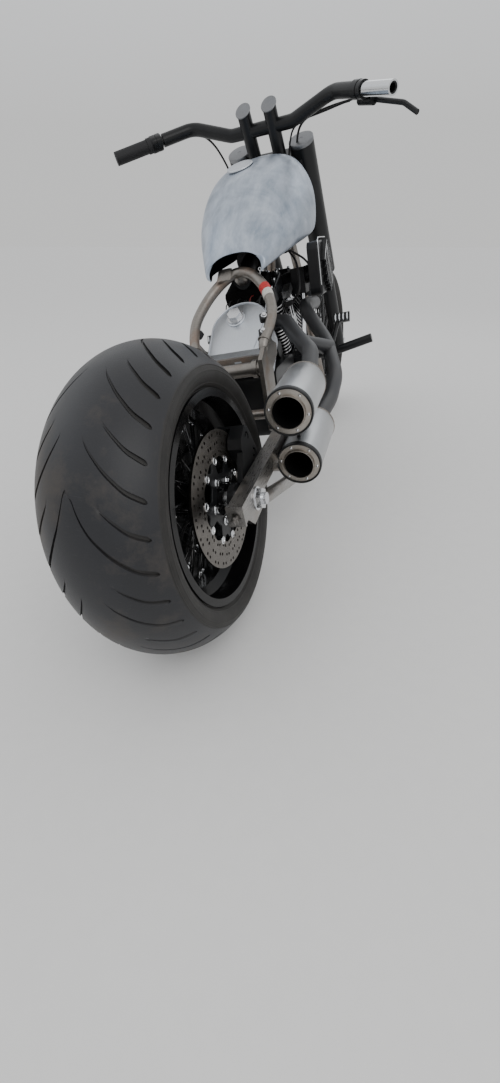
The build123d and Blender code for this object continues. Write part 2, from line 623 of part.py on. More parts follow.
# name, tip, can start, pipe points ahead of the can, bend radius at each point
pipes = [
    ("upper", (245, 138, 460), (241, 396, 474), [
        from_crank(231, -504, 151), from_crank(164, -384, 186), from_crank(124, -300, 211),
        port(cylinder_tilt, -port_out), port(cylinder_tilt, -head_half)], (90, 110, 90, 48)),
    ("lower", (238, 190, 320), (241, 424, 343), [
        from_crank(262, -455, 6), from_crank(268, -350, 46), from_crank(224, -200, 120),
        from_crank(130, -70, 227), from_crank(128, 190, 210), port(-cylinder_tilt, port_out),
        port(-cylinder_tilt, head_half)], (240, 240, 240, 130, 50, 28)),
]
hot_side = ("head_rear", "head_front", "cylinder_rear", "cylinder_front", "pushrod_tubes")
for name, tip, start, points, bends in pipes:
    tip_v, start_v = Vector(*tip), Vector(*start)
    can_long = (start_v - tip_v).length
    half = [
        (0, can_r - 4), (0, can_r), (can_long - 26, can_r), (can_long, pipe_r + 4), (can_long, pipe_r),
        (can_long, 0), (tip_depth, 0), (tip_depth, tip_bore - 4), (-4, tip_bore - 4), (-4, tip_bore),
        (6, tip_bore), (6, can_r - 4),
    ]
    face = make_face(Polyline(*[(r, 0, s) for s, r in half], close=True))
    can = Plane(origin=tip_v, z_dir=start_v - tip_v) * revolve(face, Axis.Z)
    pieces["muffler_" + name] = can
    header = tube([start] + points, pipe_r, bends) - can
    tilt, way = (cylinder_tilt, -1) if name == "upper" else (-cylinder_tilt, 1)
    header += rod(port(tilt, way * (head_fin_y + seat_gap)), port(tilt, way * (head_fin_y + 11)), pipe_r + 12)
    for other in hot_side:
        header -= pieces[other]
    pieces["header_" + name] = header
crossover = rod(from_crank(171.5, -414, 178.5), from_crank(232, -228, 106), 13, 25)
pieces["header_lower"] += crossover - pieces["header_upper"]
strap = block((236, 244), (215, 300), (362, 428))
pieces["can_bracket"] = strap - pieces["muffler_upper"] - pieces["muffler_lower"]

# Rear brake: a caliper over the disc, carried by a plate on the axle's spacer

caliper_angle = 29.0
caliper_in, caliper_out = rear_disc_x - 29, rear_disc_x + 37
caliper_near, caliper_far = 100.0, 167.0
caliper_half = 50.0


def caliper_body(disc_x, inner_x, outer_x, near, far, half, pockets):
    """Six-cornered body around the disc's edge, with round pockets in its outer face."""
    outline = [(near, -half + 12), (near + 18, -half), (far - 10, -half), (far, -half + 14),
               (far, half - 14), (far - 10, half), (near + 18, half), (near, half - 12)]
    body = side_plate(outline, inner_x, outer_x - inner_x)
    room = disc_thick / 2 + 3
    body -= block((disc_x - room, disc_x + room), (0, disc_r + 4), (-200, 200))
    for y, z in pockets:
        body -= x_bar(y, z, 11, outer_x - 5, outer_x + 1) - x_bar(y, z, 6, outer_x - 6, outer_x + 2)
        body -= x_bar(y, z, 11, inner_x - 1, inner_x + 5)
    return body


carrier_x = rear_disc_x + 24
caliper = Rot(X=caliper_angle) * caliper_body(
    rear_disc_x, caliper_in, caliper_out, caliper_near, caliper_far, caliper_half, [(122, -22), (122, 22), (146, -27), (146, 27)])
carrier = side_plate([(32, 8), (87, 93), (112, 96), (140, 60), (110, 0), (60, -34), (0, -34), (-30, -10)], carrier_x, 13)
caliper += carrier + x_bar(0, 0, 34, carrier_x, carrier_x + 13)
pieces["rear_caliper"] = Pos(*rear_axle) * (caliper - x_bar(0, 0, 20 + seat_gap, carrier_x - 1, carrier_x + 20))

# Fork

upper_r, lower_r = 43.0, 30.0
upper_long = 470.0
leg_length = (leg_top_z - front_axle_z) / rake_cos
axle_lug_half = 14.0
leg_cap_tall = 12.0


def along_leg(x):
    """Plane at a leg's top, with Z down the leg."""
    return Plane(origin=on_leg(0, x), x_dir=(1, 0, 0), z_dir=(0, rake_sin, -rake_cos))


for name, x in (("right", leg_x), ("left", -leg_x)):
    place = along_leg(x)
    lower_long = leg_length - upper_long + 12
    leg = place * (Cylinder(upper_r, upper_long, align=FROM_BASE)
                   + Pos(0, 0, upper_long) * Cylinder(lower_r, lower_long, align=FROM_BASE)
                   + Pos(0, 0, -leg_cap_tall) * Cone(upper_r - 9, upper_r - 3, leg_cap_tall, align=FROM_BASE))
    leg += x_bar(wheelbase, front_axle_z, 30, x - axle_lug_half, x + axle_lug_half)
    leg += rod(on_leg(leg_length - 30, x), (x, wheelbase, front_axle_z), 22)
    pieces["fork_leg_" + name] = leg - x_bar(wheelbase, front_axle_z, axle_r + running_fit, x - 50, x + 50)

front_spindle = x_bar(wheelbase, front_axle_z, axle_r, -leg_x - 30, leg_x + 30)
for side in (-1, 1):
    front_spindle += x_bar(wheelbase, front_axle_z, 18,
                           side * (front_hub_end + seat_gap), side * (leg_x - lower_r - seat_gap))
pieces["front_axle"] = front_spindle


def yoke(drop):
    """Plate that clamps both legs and carries the stem."""
    plane = Plane(origin=on_stem(drop), x_dir=(1, 0, 0), z_dir=(0, -rake_sin, rake_cos))
    clamp_r = upper_r + 6
    clamp_x = leg_x - 18         # the legs' smooth covers run past the plate on the outside
    outline = make_hull([
        *(Pos(-clamp_x, leg_offset) * Circle(clamp_r)).edges(), *(Pos(clamp_x, leg_offset) * Circle(clamp_r)).edges(),
        *(Pos(0, -10) * Circle(46)).edges(),
    ])
    plate = extrude(plane * outline, yoke_thick / 2, both=True)
    for x in (leg_x, -leg_x):
        plate -= along_leg(x) * Cylinder(upper_r + running_fit, 3 * upper_long)
    return plate


stem = rod(on_stem(upper_yoke_drop - 4), on_stem(lower_yoke_drop + 6), stem_r)
lower_yoke = yoke(lower_yoke_drop)
pieces["lower_yoke"] = lower_yoke + stem

# Handlebar: wide bar that necks down to its ends, through two risers
riser_x = 46.5
riser_r = 22.5
riser_rise = 131.0
bar_rise = 80.0
bar_r = 19.0
bar_end_r = 12.7
bar_bore_r = 9.5
neck_in = 176.0         # from the bar's end to where it grows to its full width
bar_middle = on_stem(-bar_rise)
bar_end = Vector(470, bar_middle[1] - 198, bar_middle[2] - 19)
bar_bend = Vector(254, bar_middle[1] - 10, bar_middle[2] + 43)
inward = (bar_bend - bar_end).normalized()
ahead_of_bar = Vector(-inward.Y, inward.X, 0).normalized() * -1


def on_bar(distance, side=1):
    """Point on the bar's axis at a distance from its right or left end."""
    point = bar_end + inward * distance
    return Vector(side * point.X, point.Y, point.Z)


bar_half = [on_bar(neck_in), bar_bend, Vector(113, bar_middle[1], bar_middle[2])]
bar_path = [tuple(p) for p in bar_half] + [(-p.X, p.Y, p.Z) for p in reversed(bar_half)]
bar = tube(bar_path, bar_r, 70)
for side in (-1, 1):
    bar += rod(tuple(on_bar(0, side)), tuple(on_bar(neck_in + 5, side)), bar_end_r)
    bar -= rod(tuple(on_bar(-1, side)), tuple(on_bar(60, side)), bar_bore_r)
pieces["handlebar"] = bar
risers = both(rod(on_stem(upper_yoke_drop - yoke_thick / 2, x=riser_x), on_stem(-riser_rise, x=riser_x), riser_r))
pieces["upper_yoke"] = yoke(upper_yoke_drop) - stem + (risers - bar)


def sleeve(side, near, far, radius):
    """Sleeve round the bar between two distances from its end."""
    bore = rod(tuple(on_bar(near - 1, side)), tuple(on_bar(far + 1, side)), bar_end_r + running_fit)
    return rod(tuple(on_bar(near, side)), tuple(on_bar(far, side)), radius) - bore


grip = sleeve(-1, -3, 118, 20) + sleeve(-1, 117, 131, 22.5) + sleeve(-1, 130, 170, 21)
pieces["grip_left"] = grip
pieces["throttle_sleeve"] = sleeve(1, -3, 126, 16.5)
clamp = sleeve(1, 128, 146, 21) + sleeve(1, 148, 174, 22) + sleeve(1, 145, 149, 19)
pump_offset = ahead_of_bar * 34 - Vector(0, 0, 22)
clamp += rod(tuple(on_bar(160) + pump_offset * 0.5), tuple(on_bar(160) + pump_offset), 10)
clamp += rod(tuple(on_bar(128) + pump_offset), tuple(on_bar(196) + pump_offset), 13)
lever_root = on_bar(130) + pump_offset + ahead_of_bar * 8
lever_points = [lever_root, on_bar(20) + ahead_of_bar * 56 - Vector(0, 0, 30), on_bar(-34) + ahead_of_bar * 60 - Vector(0, 0, 50)]
clamp += tube([tuple(p) for p in lever_points], 6.5, 60)
pieces["brake_lever"] = clamp

light_at = on_stem(150)
light_centre = (0, light_at[1] + 190, light_at[2] - 20)
bucket_r = 72.0
bucket = Pos(*light_centre) * Rot(X=90) * Cylinder(bucket_r, 70)
bucket = fillet(bucket.edges().group_by(Axis.Y)[0], 30)
bucket += rod((0, light_centre[1], light_centre[2] - 60), on_leg(lower_yoke_drop, 0), 12)
light_front = light_centre[1] + 35
bezel = Pos(0, light_front + 4, light_centre[2]) * Rot(X=90) * Cylinder(bucket_r + 3, 14)
glass_r = bucket_r - 4
glass_room = Pos(0, light_front + 6, light_centre[2]) * Rot(X=90) * Cylinder(glass_r + seat_gap, 12)
pieces["headlight"] = bucket + bezel - glass_room - lower_yoke
glass = Pos(0, light_front + 6, light_centre[2]) * Rot(X=-90) * Cylinder(glass_r, 12)
pieces["headlight_glass"] = fillet(glass.edges().sort_by(Axis.Y)[-1], 5)

front_caliper_angle = 150.0
front_caliper = Rot(X=front_caliper_angle) * caliper_body(
    front_disc_x, front_disc_x - 26, front_disc_x + 26, 96, 164, 48, [(124, -18), (124, 18)])
pieces["front_caliper"] = Pos(*front_axle) * front_caliper - pieces["fork_leg_left"]

for name in ("fork_leg_right", "fork_leg_left", "front_axle", "upper_yoke", "lower_yoke", "handlebar", "grip_left",
             "throttle_sleeve", "brake_lever", "headlight", "headlight_glass", "front_caliper", "front_tyre",
             "front_rim", "front_disc"):
    pieces[name] = fork_turn * pieces[name]

# Foot controls: a peg on each side and, ahead of it, a ribbed pedal pad

peg_y, peg_z = crank_y - 100, crank_z + 71
peg_from, peg_to = 234.0, 356.0
pad_size = (56.0, 14.0, 30.0)
for name, side in (("right", 1), ("left", -1)):
    arm_from = 60 if side > 0 else primary_thick - primary_in - 12
    control = rod((side * arm_from, peg_y, peg_z - 12), (side * peg_from, peg_y, peg_z), 12)
    control += rod((side * (peg_from - 6), peg_y, peg_z), (side * peg_to, peg_y, peg_z + 26), 14)
    pad_at = Vector(side * 248, peg_y + 100, peg_z + 90)
    control += rod((side * (peg_from - 20), peg_y, peg_z), tuple(pad_at - Vector(side * 14, 0, 8)), 8)
    pad = Box(*pad_size)
    for i in range(5):
        pad += Pos((i - 2) * 11, -pad_size[1] / 2, 0) * Box(5, 5, pad_size[2] - 4)
    control += Pos(*pad_at) * Rot(X=-25) * pad
    control -= case
    if side < 0:
        control -= primary
    else:
        control -= cam
    pieces["foot_controls_" + name] = control

# Side stand

stand_pivot = Vector(-rail_x - 41, crank_y - 150, rail_z)
foot_x, foot_y = -322.0, crank_y - 115
foot_size = (56.0, 74.0, 8.0)
foot_z = -foot_x * tan(radians(lean_angle)) - ground_lift / lean_cos
stand_leg = Vector(foot_x, foot_y, foot_z + 12) - stand_pivot
folded_way = Vector(-0.12, -0.99, 0.1).normalized()      # where the leg points when it is folded
down_way = stand_leg.normalized()
swing = (folded_way - down_way).normalized()
stand_axis = (Vector(1, 0, 0) - swing * swing.X).normalized()
down_flat = (down_way - stand_axis * down_way.dot(stand_axis)).normalized()
folded_flat = (folded_way - stand_axis * folded_way.dot(stand_axis)).normalized()
stand_fold = -down_flat.get_angle(folded_flat)
stand_pin_r = 8.0


def on_stand_axis(distance):
    return tuple(stand_pivot + stand_axis * distance)


stand = rod(tuple(stand_pivot), tuple(stand_pivot + stand_leg), 12) + rod(on_stand_axis(-14), on_stand_axis(10), 20)
stand += Pos(foot_x, foot_y, foot_z) * Rot(Y=lean_angle) * Pos(0, 0, foot_size[2] / 2) * Box(*foot_size)
pieces["side_stand"] = stand - rod(on_stand_axis(-60), on_stand_axis(60), stand_pin_r + running_fit)
pieces["cradle_left"] += rod(on_stand_axis(-20), on_stand_axis(44), stand_pin_r)

# Lean the whole machine to the left and lift it so that the tyres and the stand's foot touch the ground

os.makedirs("parts", exist_ok=True)
leaned = {
    name: Pos(0, 0, ground_lift) * Rot(Y=-lean_angle) * (Part() + piece) for name, piece in pieces.items()
}
whole_box = Compound(children=[Compound(list(piece.solids())) for piece in leaned.values()]).bounding_box()
middle_x = (whole_box.min.X + whole_box.max.X) / 2
middle_y = (whole_box.min.Y + whole_box.max.Y) / 2
parked_place = Pos(-middle_x, -middle_y, ground_lift) * Rot(Y=-lean_angle)
for name, piece in leaned.items():
    export_step(Pos(-middle_x, -middle_y, 0) * piece, os.path.join("parts", name + ".step"))


def show(name, point, direction, place=parked_place):
    """Print a hinge or mount point and its direction in the parked frame, in metres."""
    point = Vector(*point)
    moved = (place * Pos(*point)).position
    axis = (place * Pos(*(point + Vector(*direction)))).position - moved
    print(name, [round(v / 1000, 6) for v in moved], [round(v, 6) for v in axis])


show("rear_wheel", rear_axle, (1, 0, 0))
show("front_wheel", front_axle, (1, 0, 0), parked_place * fork_turn)
show("steering", on_stem(140), (0, -rake_sin, rake_cos))
show("side_stand", tuple(stand_pivot), tuple(stand_axis))
print("stand folds by", round(stand_fold, 2))
show("bar_centre", (0, bar_middle[1], bar_middle[2]), (1, 0, 0), parked_place * fork_turn)
for name, tip, start, points, bends in pipes:
    back = (Vector(*tip) - Vector(*start)).normalized()
    show("tip_" + name + "_bore", tuple(Vector(*tip) - back * 50), tuple(back))
print("box", whole_box.size, "bottom", round(whole_box.min.Z, 3))
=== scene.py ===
import json
import math

import bmesh
import bpy
import numpy as np
from mathutils import Matrix, Vector


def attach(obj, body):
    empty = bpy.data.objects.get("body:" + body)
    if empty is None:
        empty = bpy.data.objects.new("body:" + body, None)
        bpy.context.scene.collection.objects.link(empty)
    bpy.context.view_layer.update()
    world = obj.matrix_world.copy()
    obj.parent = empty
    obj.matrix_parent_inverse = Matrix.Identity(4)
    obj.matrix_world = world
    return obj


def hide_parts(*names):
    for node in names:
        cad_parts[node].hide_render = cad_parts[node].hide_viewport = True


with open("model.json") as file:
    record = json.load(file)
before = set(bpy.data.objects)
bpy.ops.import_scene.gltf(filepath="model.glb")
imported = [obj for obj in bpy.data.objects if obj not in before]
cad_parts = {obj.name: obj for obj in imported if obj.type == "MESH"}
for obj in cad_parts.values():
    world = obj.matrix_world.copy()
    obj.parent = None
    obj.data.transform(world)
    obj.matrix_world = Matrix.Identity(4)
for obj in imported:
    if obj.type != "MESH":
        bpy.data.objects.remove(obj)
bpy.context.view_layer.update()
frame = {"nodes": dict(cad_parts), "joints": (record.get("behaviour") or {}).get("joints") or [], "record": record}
joints = {row["name"]: row for row in frame["joints"]}
rearHub = Vector(joints["rear_wheel_spin"]["pos_m"])
leanAngle = math.asin(joints["rear_wheel_spin"]["axis"][2])

# The machine's upright layout, in metres: X to the rider's right, Y forward, Z up, the rear axle above (0, 0, 0)
layout = {"axleHeight": 0.33, "crank": (0, 1.0, 0.360), "cylinderTilt": 22.5, "rake": 32, "parkedSteer": -9}
parked = (Matrix.Translation(rearHub) @ Matrix.Rotation(-leanAngle, 4, "Y")
          @ Matrix.Translation((0, 0, -layout["axleHeight"])))
steerHub = parked.inverted() @ Vector(joints["steering"]["pos_m"])
steerWay = parked.to_3x3().inverted() @ Vector(joints["steering"]["axis"])
steered = (parked @ Matrix.Translation(steerHub)
           @ Matrix.Rotation(math.radians(layout["parkedSteer"]), 4, steerWay) @ Matrix.Translation(-steerHub))
frontHub = steered.inverted() @ Vector(joints["front_wheel_spin"]["pos_m"])


def addObject(name, data):
    made = bpy.data.objects.new(name, data)
    bpy.context.scene.collection.objects.link(made)
    return made


# Camera: its place from the rear hub and its axes
view = {"fromRearHub": (0.41367, -0.7746, 0.48956), "lens": 14.8279, "right": (0.95577, 0.29405, -0.00631),
        "down": (0.16304, -0.54754, -0.82074), "ahead": (-0.2448, 0.78341, -0.57127)}


def placeCamera():
    data = bpy.data.cameras.new("photoCamera")
    data.lens = view["lens"]
    data.sensor_width = 36.0
    data.sensor_fit = "AUTO"
    data.clip_start = 0.02
    camera = addObject("photoCamera", data)
    turn = Matrix((Vector(view["right"]), -Vector(view["down"]), -Vector(view["ahead"]))).transposed()
    camera.matrix_world = Matrix.Translation(rearHub + Vector(view["fromRearHub"])) @ turn.to_4x4()
    bpy.context.scene.camera = camera


placeCamera()


# Node trees: one call makes a node, sets its inputs and links those that are given as sockets
def addNode(tree, kind, inputs=None, **settings):
    made = tree.nodes.new("ShaderNode" + kind)
    for name, value in settings.items():
        setattr(made, name, value)
    for name, value in (inputs or {}).items():
        socket = made.inputs[name]
        if isinstance(value, bpy.types.NodeSocket):
            tree.links.new(value, socket)
        else:
            socket.default_value = value
    return made


def startFinish(name, values):
    material = bpy.data.materials.new(name)
    material.use_nodes = True
    shader = material.node_tree.nodes["Principled BSDF"]
    for socket, value in values.items():
        shader.inputs[socket].default_value = value
    return material, shader, addNode(material.node_tree, "TexCoord").outputs["Object"]


def feed(shader, name, value):
    value.id_data.links.new(value, shader.inputs[name])


# These find their tree by the socket that they are given
def maths(operation, first, second=0.0, clamp=False):
    tree = (first if isinstance(first, bpy.types.NodeSocket) else second).id_data
    return addNode(tree, "Math", {0: first, 1: second}, operation=operation, use_clamp=clamp).outputs[0]


def plus(first, second, clamp=False):
    return maths("ADD", first, second, clamp)


def times(first, second):
    return maths("MULTIPLY", first, second)


def ramp(value, stops):
    made = addNode(value.id_data, "ValToRGB", {"Fac": value})
    elements = made.color_ramp.elements
    while len(elements) < len(stops):
        elements.new(0.5)
    for element, (position, colour) in zip(elements, stops):
        element.position = position
        element.color = (*colour, 1) if len(colour) == 3 else (colour[0],) * 3 + (1,)
    return made.outputs["Color"]


def mixColour(factor, first, second):
    colours = {index: value if isinstance(value, bpy.types.NodeSocket) else (*value, 1)
               for index, value in ((6, first), (7, second))}
    return addNode(factor.id_data, "Mix", {0: factor, **colours}, data_type="RGBA").outputs[2]


def noise(place, scale, detail, rough, stretch=None, turn=(0, 0, 0)):
    tree = place.id_data
    if stretch is not None:
        place = addNode(tree, "Mapping", {"Vector": place, "Rotation": turn, "Scale": stretch}).outputs[0]
    inputs = {"Vector": place, "Scale": scale, "Detail": detail, "Roughness": rough}
    return addNode(tree, "TexNoise", inputs).outputs["Fac"]


def bump(shader, height, distance, strength):
    inputs = {"Height": height, "Distance": distance, "Strength": strength}
    feed(shader, "Normal", addNode(height.id_data, "Bump", inputs).outputs[0])


def tint(colour, factor, lift=0.0):
    return tuple(value * factor + lift for value in colour)


# Bare metal: fine grain along one way under broad stains, with brown bloom where the clouds are thickest
def metalFinish(name, low, high, rough, grain, rust=0.0, rustColour=(0.2, 0.1, 0.05), sheen=0.35):
    material, shader, place = startFinish(name, {"Metallic": 1.0, "Anisotropic": sheen})
    lines = noise(place, 60, 5, 0.7, stretch=grain)
    broad = noise(place, 3, 4, 0.6)
    cloud = noise(place, 15, 5, 0.65)
    shade = plus(times(lines, 0.45), times(broad, 0.55))
    colour = ramp(shade, [(0.3, low), (0.68, high)])
    patch = ramp(times(cloud, plus(broad, 0.25)), [(0.36, (0,)), (0.52, (1,))])
    bloom = times(patch, rust)
    feed(shader, "Base Color", mixColour(bloom, colour, rustColour))
    feed(shader, "Metallic", maths("SUBTRACT", 1.0, times(bloom, 0.7)))
    spread = times(maths("SUBTRACT", lines, 0.5), 0.35)
    feed(shader, "Roughness", plus(plus(spread, rough), times(bloom, 0.3)))
    bump(shader, plus(lines, times(bloom, 0.4)), 0.0004, 0.35)
    return material


# Tank skin: pale blue-grey steel rubbed by hand, so broad cloudy strokes lie over fine lines, with dull stains
def tankFinish(name, low, high, stained):
    material, shader, place = startFinish(name, {"Metallic": 0.8, "Anisotropic": 0.3})
    cloud = noise(place, 9, 6, 0.62)
    cloud.node.inputs["Distortion"].default_value = 1.1
    strokes = noise(place, 34, 5, 0.7, stretch=(1.0, 0.22, 0.5), turn=(0.4, 0, 0.5))
    fine = noise(place, 260, 4, 0.7, stretch=(1.0, 0.06, 0.3))
    shade = plus(times(cloud, 0.5), times(strokes, 0.5))
    colour = ramp(shade, [(0.38, low), (0.62, high)])
    stain = ramp(noise(place, 5.2, 7, 0.72), [(0.55, (0,)), (0.68, (1,))])
    feed(shader, "Base Color", mixColour(times(stain, 0.55), colour, stained))
    dull = plus(times(shade, 0.24), times(stain, 0.1))
    feed(shader, "Roughness", plus(dull, 0.25))
    bump(shader, plus(fine, times(strokes, 1.5)), 0.0004, 0.3)
    return material


# Paint: faint orange peel, dust that settles in broad patches and small specks
def paintFinish(name, colour, rough, coat=0.0, dust=0.08, gloss=0.5):
    values = {"Coat Weight": coat, "Coat Roughness": 0.06, "Specular IOR Level": gloss}
    material, shader, place = startFinish(name, values)
    broad = noise(place, 9, 5, 0.6)
    specks = noise(place, 420, 2, 0.5)
    film = ramp(broad, [(0.42, (0,)), (0.75, (1,))])
    grit = ramp(specks, [(0.66, (0,)), (0.74, (1,))])
    dusty = times(plus(film, grit, clamp=True), dust)
    feed(shader, "Base Color", mixColour(dusty, colour, (0.32, 0.3, 0.27)))
    dull = plus(times(dusty, 1.2), times(broad, 0.14))
    feed(shader, "Roughness", plus(dull, rough - 0.07))
    bump(shader, noise(place, 260, 2, 0.4), 0.0003, 0.25)
    return material


# Rubber: charcoal with a blue cast, fine grain, pale scuffs along one way and dry soil in broad patches
def rubberFinish(name, colour, rough, soil, wall=None):
    material, shader, place = startFinish(name, {"Specular IOR Level": 0.45})
    broad = noise(place, 6, 6, 0.62)
    streak = noise(place, 9, 3, 0.6, stretch=(3, 60, 60))
    fine = noise(place, 700, 2, 0.5)
    tone = ramp(broad, [(0.3, tint(colour, 0.75)), (0.7, tint(colour, 1.35))])
    scuffed = ramp(streak, [(0.62, (0,)), (0.78, (1,))])
    tone = mixColour(times(scuffed, 0.35), tone, tint(colour, 2.6, 0.02))
    dirt = ramp(noise(place, 4.3, 7, 0.68), [(0.5, (0,)), (0.68, (1,))])
    tone = mixColour(times(dirt, soil), tone, (0.13, 0.105, 0.08))
    dull = plus(times(broad, 0.25), times(dirt, 0.15))
    if wall is not None:        # walls are browner and duller, by the mesh's own attribute; groove floors take the same colour as painted shade
        wallAndGrooveShade = addNode(place.id_data, "Attribute", attribute_name="wall").outputs["Fac"]
        mottle = ramp(noise(place, 26, 5, 0.7), [(0.35, wall), (0.75, tint(wall, 1.9))])
        tone = mixColour(wallAndGrooveShade, tone, mottle)
        dull = plus(dull, times(wallAndGrooveShade, 0.16))
    feed(shader, "Base Color", tone)
    feed(shader, "Roughness", plus(dull, rough - 0.12))
    bump(shader, plus(fine, times(streak, 0.6)), 0.0005, 0.4)
    return material


# Point in the axes of a local place, by a Mapping node that undoes that place
def localPoint(place, base):
    back = base.inverted()
    inputs = {"Vector": place, "Location": back.translation, "Rotation": back.to_euler("XYZ")}
    return addNode(place.id_data, "Mapping", inputs).outputs[0]


def vectorMath(operation, first, second=(0, 0, 0)):
    return addNode(first.id_data, "VectorMath", {0: first, 1: second}, operation=operation)


# Turned metal: fine rings by the distance from an axle, under broad cloudy tones
def turnedFinish(name, hub, spin, low, high, rough):
    material, shader, place = startFinish(name, {"Metallic": 1.0, "Anisotropic": 0.5})
    flat = vectorMath("MULTIPLY", localPoint(place, Matrix.Translation(hub) @ spin), (0, 1, 1)).outputs[0]
    count = times(vectorMath("LENGTH", flat).outputs["Value"], 2600.0)
    rings = addNode(place.id_data, "TexNoise", {"W": count, "Scale": 1.0, "Detail": 3.0},
                    noise_dimensions="1D").outputs["Fac"]
    broad = noise(place, 14, 4, 0.6)
    shade = plus(times(rings, 0.5), times(broad, 0.5))
    feed(shader, "Base Color", ramp(shade, [(0.3, low), (0.7, high)]))
    feed(shader, "Roughness", plus(times(rings, 0.2), rough - 0.1))
    bump(shader, rings, 0.0002, 0.3)
    return material


# Place on the machine, tilted about X in degrees
def tilted(point, degrees):
    return parked @ Matrix.Translation(point) @ Matrix.Rotation(math.radians(degrees), 4, "X")


# Finned black casting: black paint, and bare metal where a point lies on the rounded rectangle that ends the fins
def finFinish(name, tilt, half, corner):
    material, shader, place = startFinish(name, {"Coat Roughness": 0.1})
    flat = vectorMath("MULTIPLY", localPoint(place, tilted(layout["crank"], tilt)), (1, 1, 0)).outputs[0]
    size = vectorMath("ABSOLUTE", flat).outputs[0]
    over = vectorMath("SUBTRACT", size, (half[0] - corner, half[1] - corner, 0)).outputs[0]
    reach = vectorMath("LENGTH", vectorMath("MAXIMUM", over).outputs[0]).outputs["Value"]
    edge = maths("GREATER_THAN", reach, corner - 0.0009)
    scratch = noise(place, 300, 3, 0.6, stretch=(1, 1, 0.1))
    bare = ramp(scratch, [(0.3, (0.45, 0.45, 0.46)), (0.7, (0.74, 0.74, 0.75))])
    feed(shader, "Base Color", mixColour(edge, (0.008, 0.008, 0.009), bare))
    feed(shader, "Metallic", edge)
    feed(shader, "Roughness", plus(times(scratch, 0.2), 0.2))
    return material


discTones = (0.11, 0.1, 0.091), (0.23, 0.215, 0.197), 0.3
finishes = {
    # the wall colour also fills the groove floors as painted shade
    "tyre": rubberFinish("tyreRubber", (0.012, 0.0125, 0.015), 0.42, soil=0.4, wall=(0.013, 0.012, 0.011)),
    "black_gloss": paintFinish("glossBlack", (0.004, 0.004, 0.005), 0.14, 0.6, dust=0.015),
    "black_satin": paintFinish("satinBlack", (0.006, 0.0065, 0.0075), 0.33, dust=0.025, gloss=0.32),
    "raw_steel": metalFinish("rawSteel", (0.15, 0.138, 0.125), (0.33, 0.31, 0.285), 0.36, (6, 1, 6), rust=0.55),
    "tank_steel": tankFinish("tankSteel", (0.29, 0.34, 0.41), (0.52, 0.57, 0.64), (0.26, 0.29, 0.34)),
    "oil_alloy": metalFinish("oilAlloy", (0.52, 0.55, 0.59), (0.72, 0.75, 0.79), 0.36, (7, 1, 2), rust=0.04),
    "disc_steel": turnedFinish("discSteel", rearHub, parked.to_3x3().to_4x4(), *discTones),
    "can_alloy": metalFinish("canAlloy", (0.4, 0.41, 0.42), (0.56, 0.57, 0.58), 0.34, (1, 10, 1), rust=0.02),
    "chrome": metalFinish("chrome", (0.62, 0.63, 0.65), (0.78, 0.79, 0.8), 0.12, (3, 3, 3), sheen=0.0),
    "grip_rubber": rubberFinish("gripRubber", (0.009, 0.009, 0.01), 0.62, soil=0.06),
    "belt_rubber": rubberFinish("beltRubber", (0.018, 0.018, 0.019), 0.6, soil=0.15),
}
capAlloy = metalFinish("capAlloy", (0.18, 0.185, 0.195), (0.27, 0.275, 0.285), 0.46, (1, 6, 1))
warmSteel = metalFinish("warmSteel", (0.3, 0.275, 0.245), (0.5, 0.47, 0.43), 0.34, (4, 4, 4), rust=0.25)
# near-black matt: soot in the cans' bores, painted shade inside the fuel tank's arch, and the wiring tray
sootAndShadeBlack = paintFinish("sootAndShadeBlack", (0.0025, 0.0025, 0.0026), 0.9, dust=0.01, gloss=0.1)
rimFinish = paintFinish("rimBlack", (0.003, 0.003, 0.0035), 0.2, 0.1, dust=0.01, gloss=0.18)


# Lamp lens: bright reflector seen through fluted glass, the flutes a sine along X under a clear coat
def lensFinish(name):
    material, shader, place = startFinish(name, {"Metallic": 0.85, "Coat Weight": 1.0, "Coat Roughness": 0.03})
    waves = {"Vector": place, "Scale": 42.0, "Distortion": 0.4, "Detail": 1.0}
    flutes = addNode(place.id_data, "TexWave", waves).outputs["Fac"]
    shade = plus(times(flutes, 0.4), noise(place, 18, 3, 0.5))
    feed(shader, "Base Color", ramp(shade, [(0.35, (0.42, 0.44, 0.46)), (0.8, (0.82, 0.84, 0.86))]))
    feed(shader, "Roughness", times(flutes, 0.12))
    bump(shader, flutes, 0.001, 0.6)
    return material


finishes["lamp_glass"] = lensFinish("lampLens")
slotOf = {row["node"]: row["material_slot"] for row in frame["record"]["subparts"]}
ownFinish = {
    "front_disc": turnedFinish("frontDiscSteel", Vector(joints["front_wheel_spin"]["pos_m"]),
                               steered.to_3x3().to_4x4(), *discTones),
    "rear_fork": metalFinish("forkBarSteel", (0.2, 0.19, 0.18), (0.44, 0.425, 0.41), 0.3, (9, 0.6, 9), rust=0.35,
                             rustColour=(0.22, 0.14, 0.08)),
    "seat_hoop": metalFinish("hoopSteel", (0.17, 0.155, 0.14), (0.33, 0.31, 0.285), 0.38, (1, 5, 5), rust=0.5),
    "header_upper": paintFinish("headerUpperBlack", (0.02, 0.021, 0.024), 0.4),
    "header_lower": paintFinish("headerLowerBlack", (0.024, 0.025, 0.028), 0.4),
    "backbone": paintFinish("backboneBlack", (0.008, 0.008, 0.009), 0.5, dust=0.05, gloss=0.3),
    "rear_rim": rimFinish,
    "front_rim": rimFinish,
    "oil_cap": metalFinish("oilCapMetal", (0.58, 0.59, 0.61), (0.74, 0.75, 0.77), 0.26, (3, 3, 3), rust=0.02),
}
for name, side in (("rear", 1), ("front", -1)):
    tilt = side * layout["cylinderTilt"]
    ownFinish["cylinder_" + name] = finFinish(name + "BarrelFins", tilt, (0.076, 0.076), 0.034)
    ownFinish["head_" + name] = finFinish(name + "HeadFins", tilt, (0.082, 0.075), 0.026)
for name, node in frame["nodes"].items():
    finish = ownFinish.get(name, finishes[slotOf[name]])
    if not node.material_slots:
        node.data.materials.append(finish)
    for slot in node.material_slots:
        slot.material = finish
print("finishes are on", len(frame["nodes"]), "nodes")


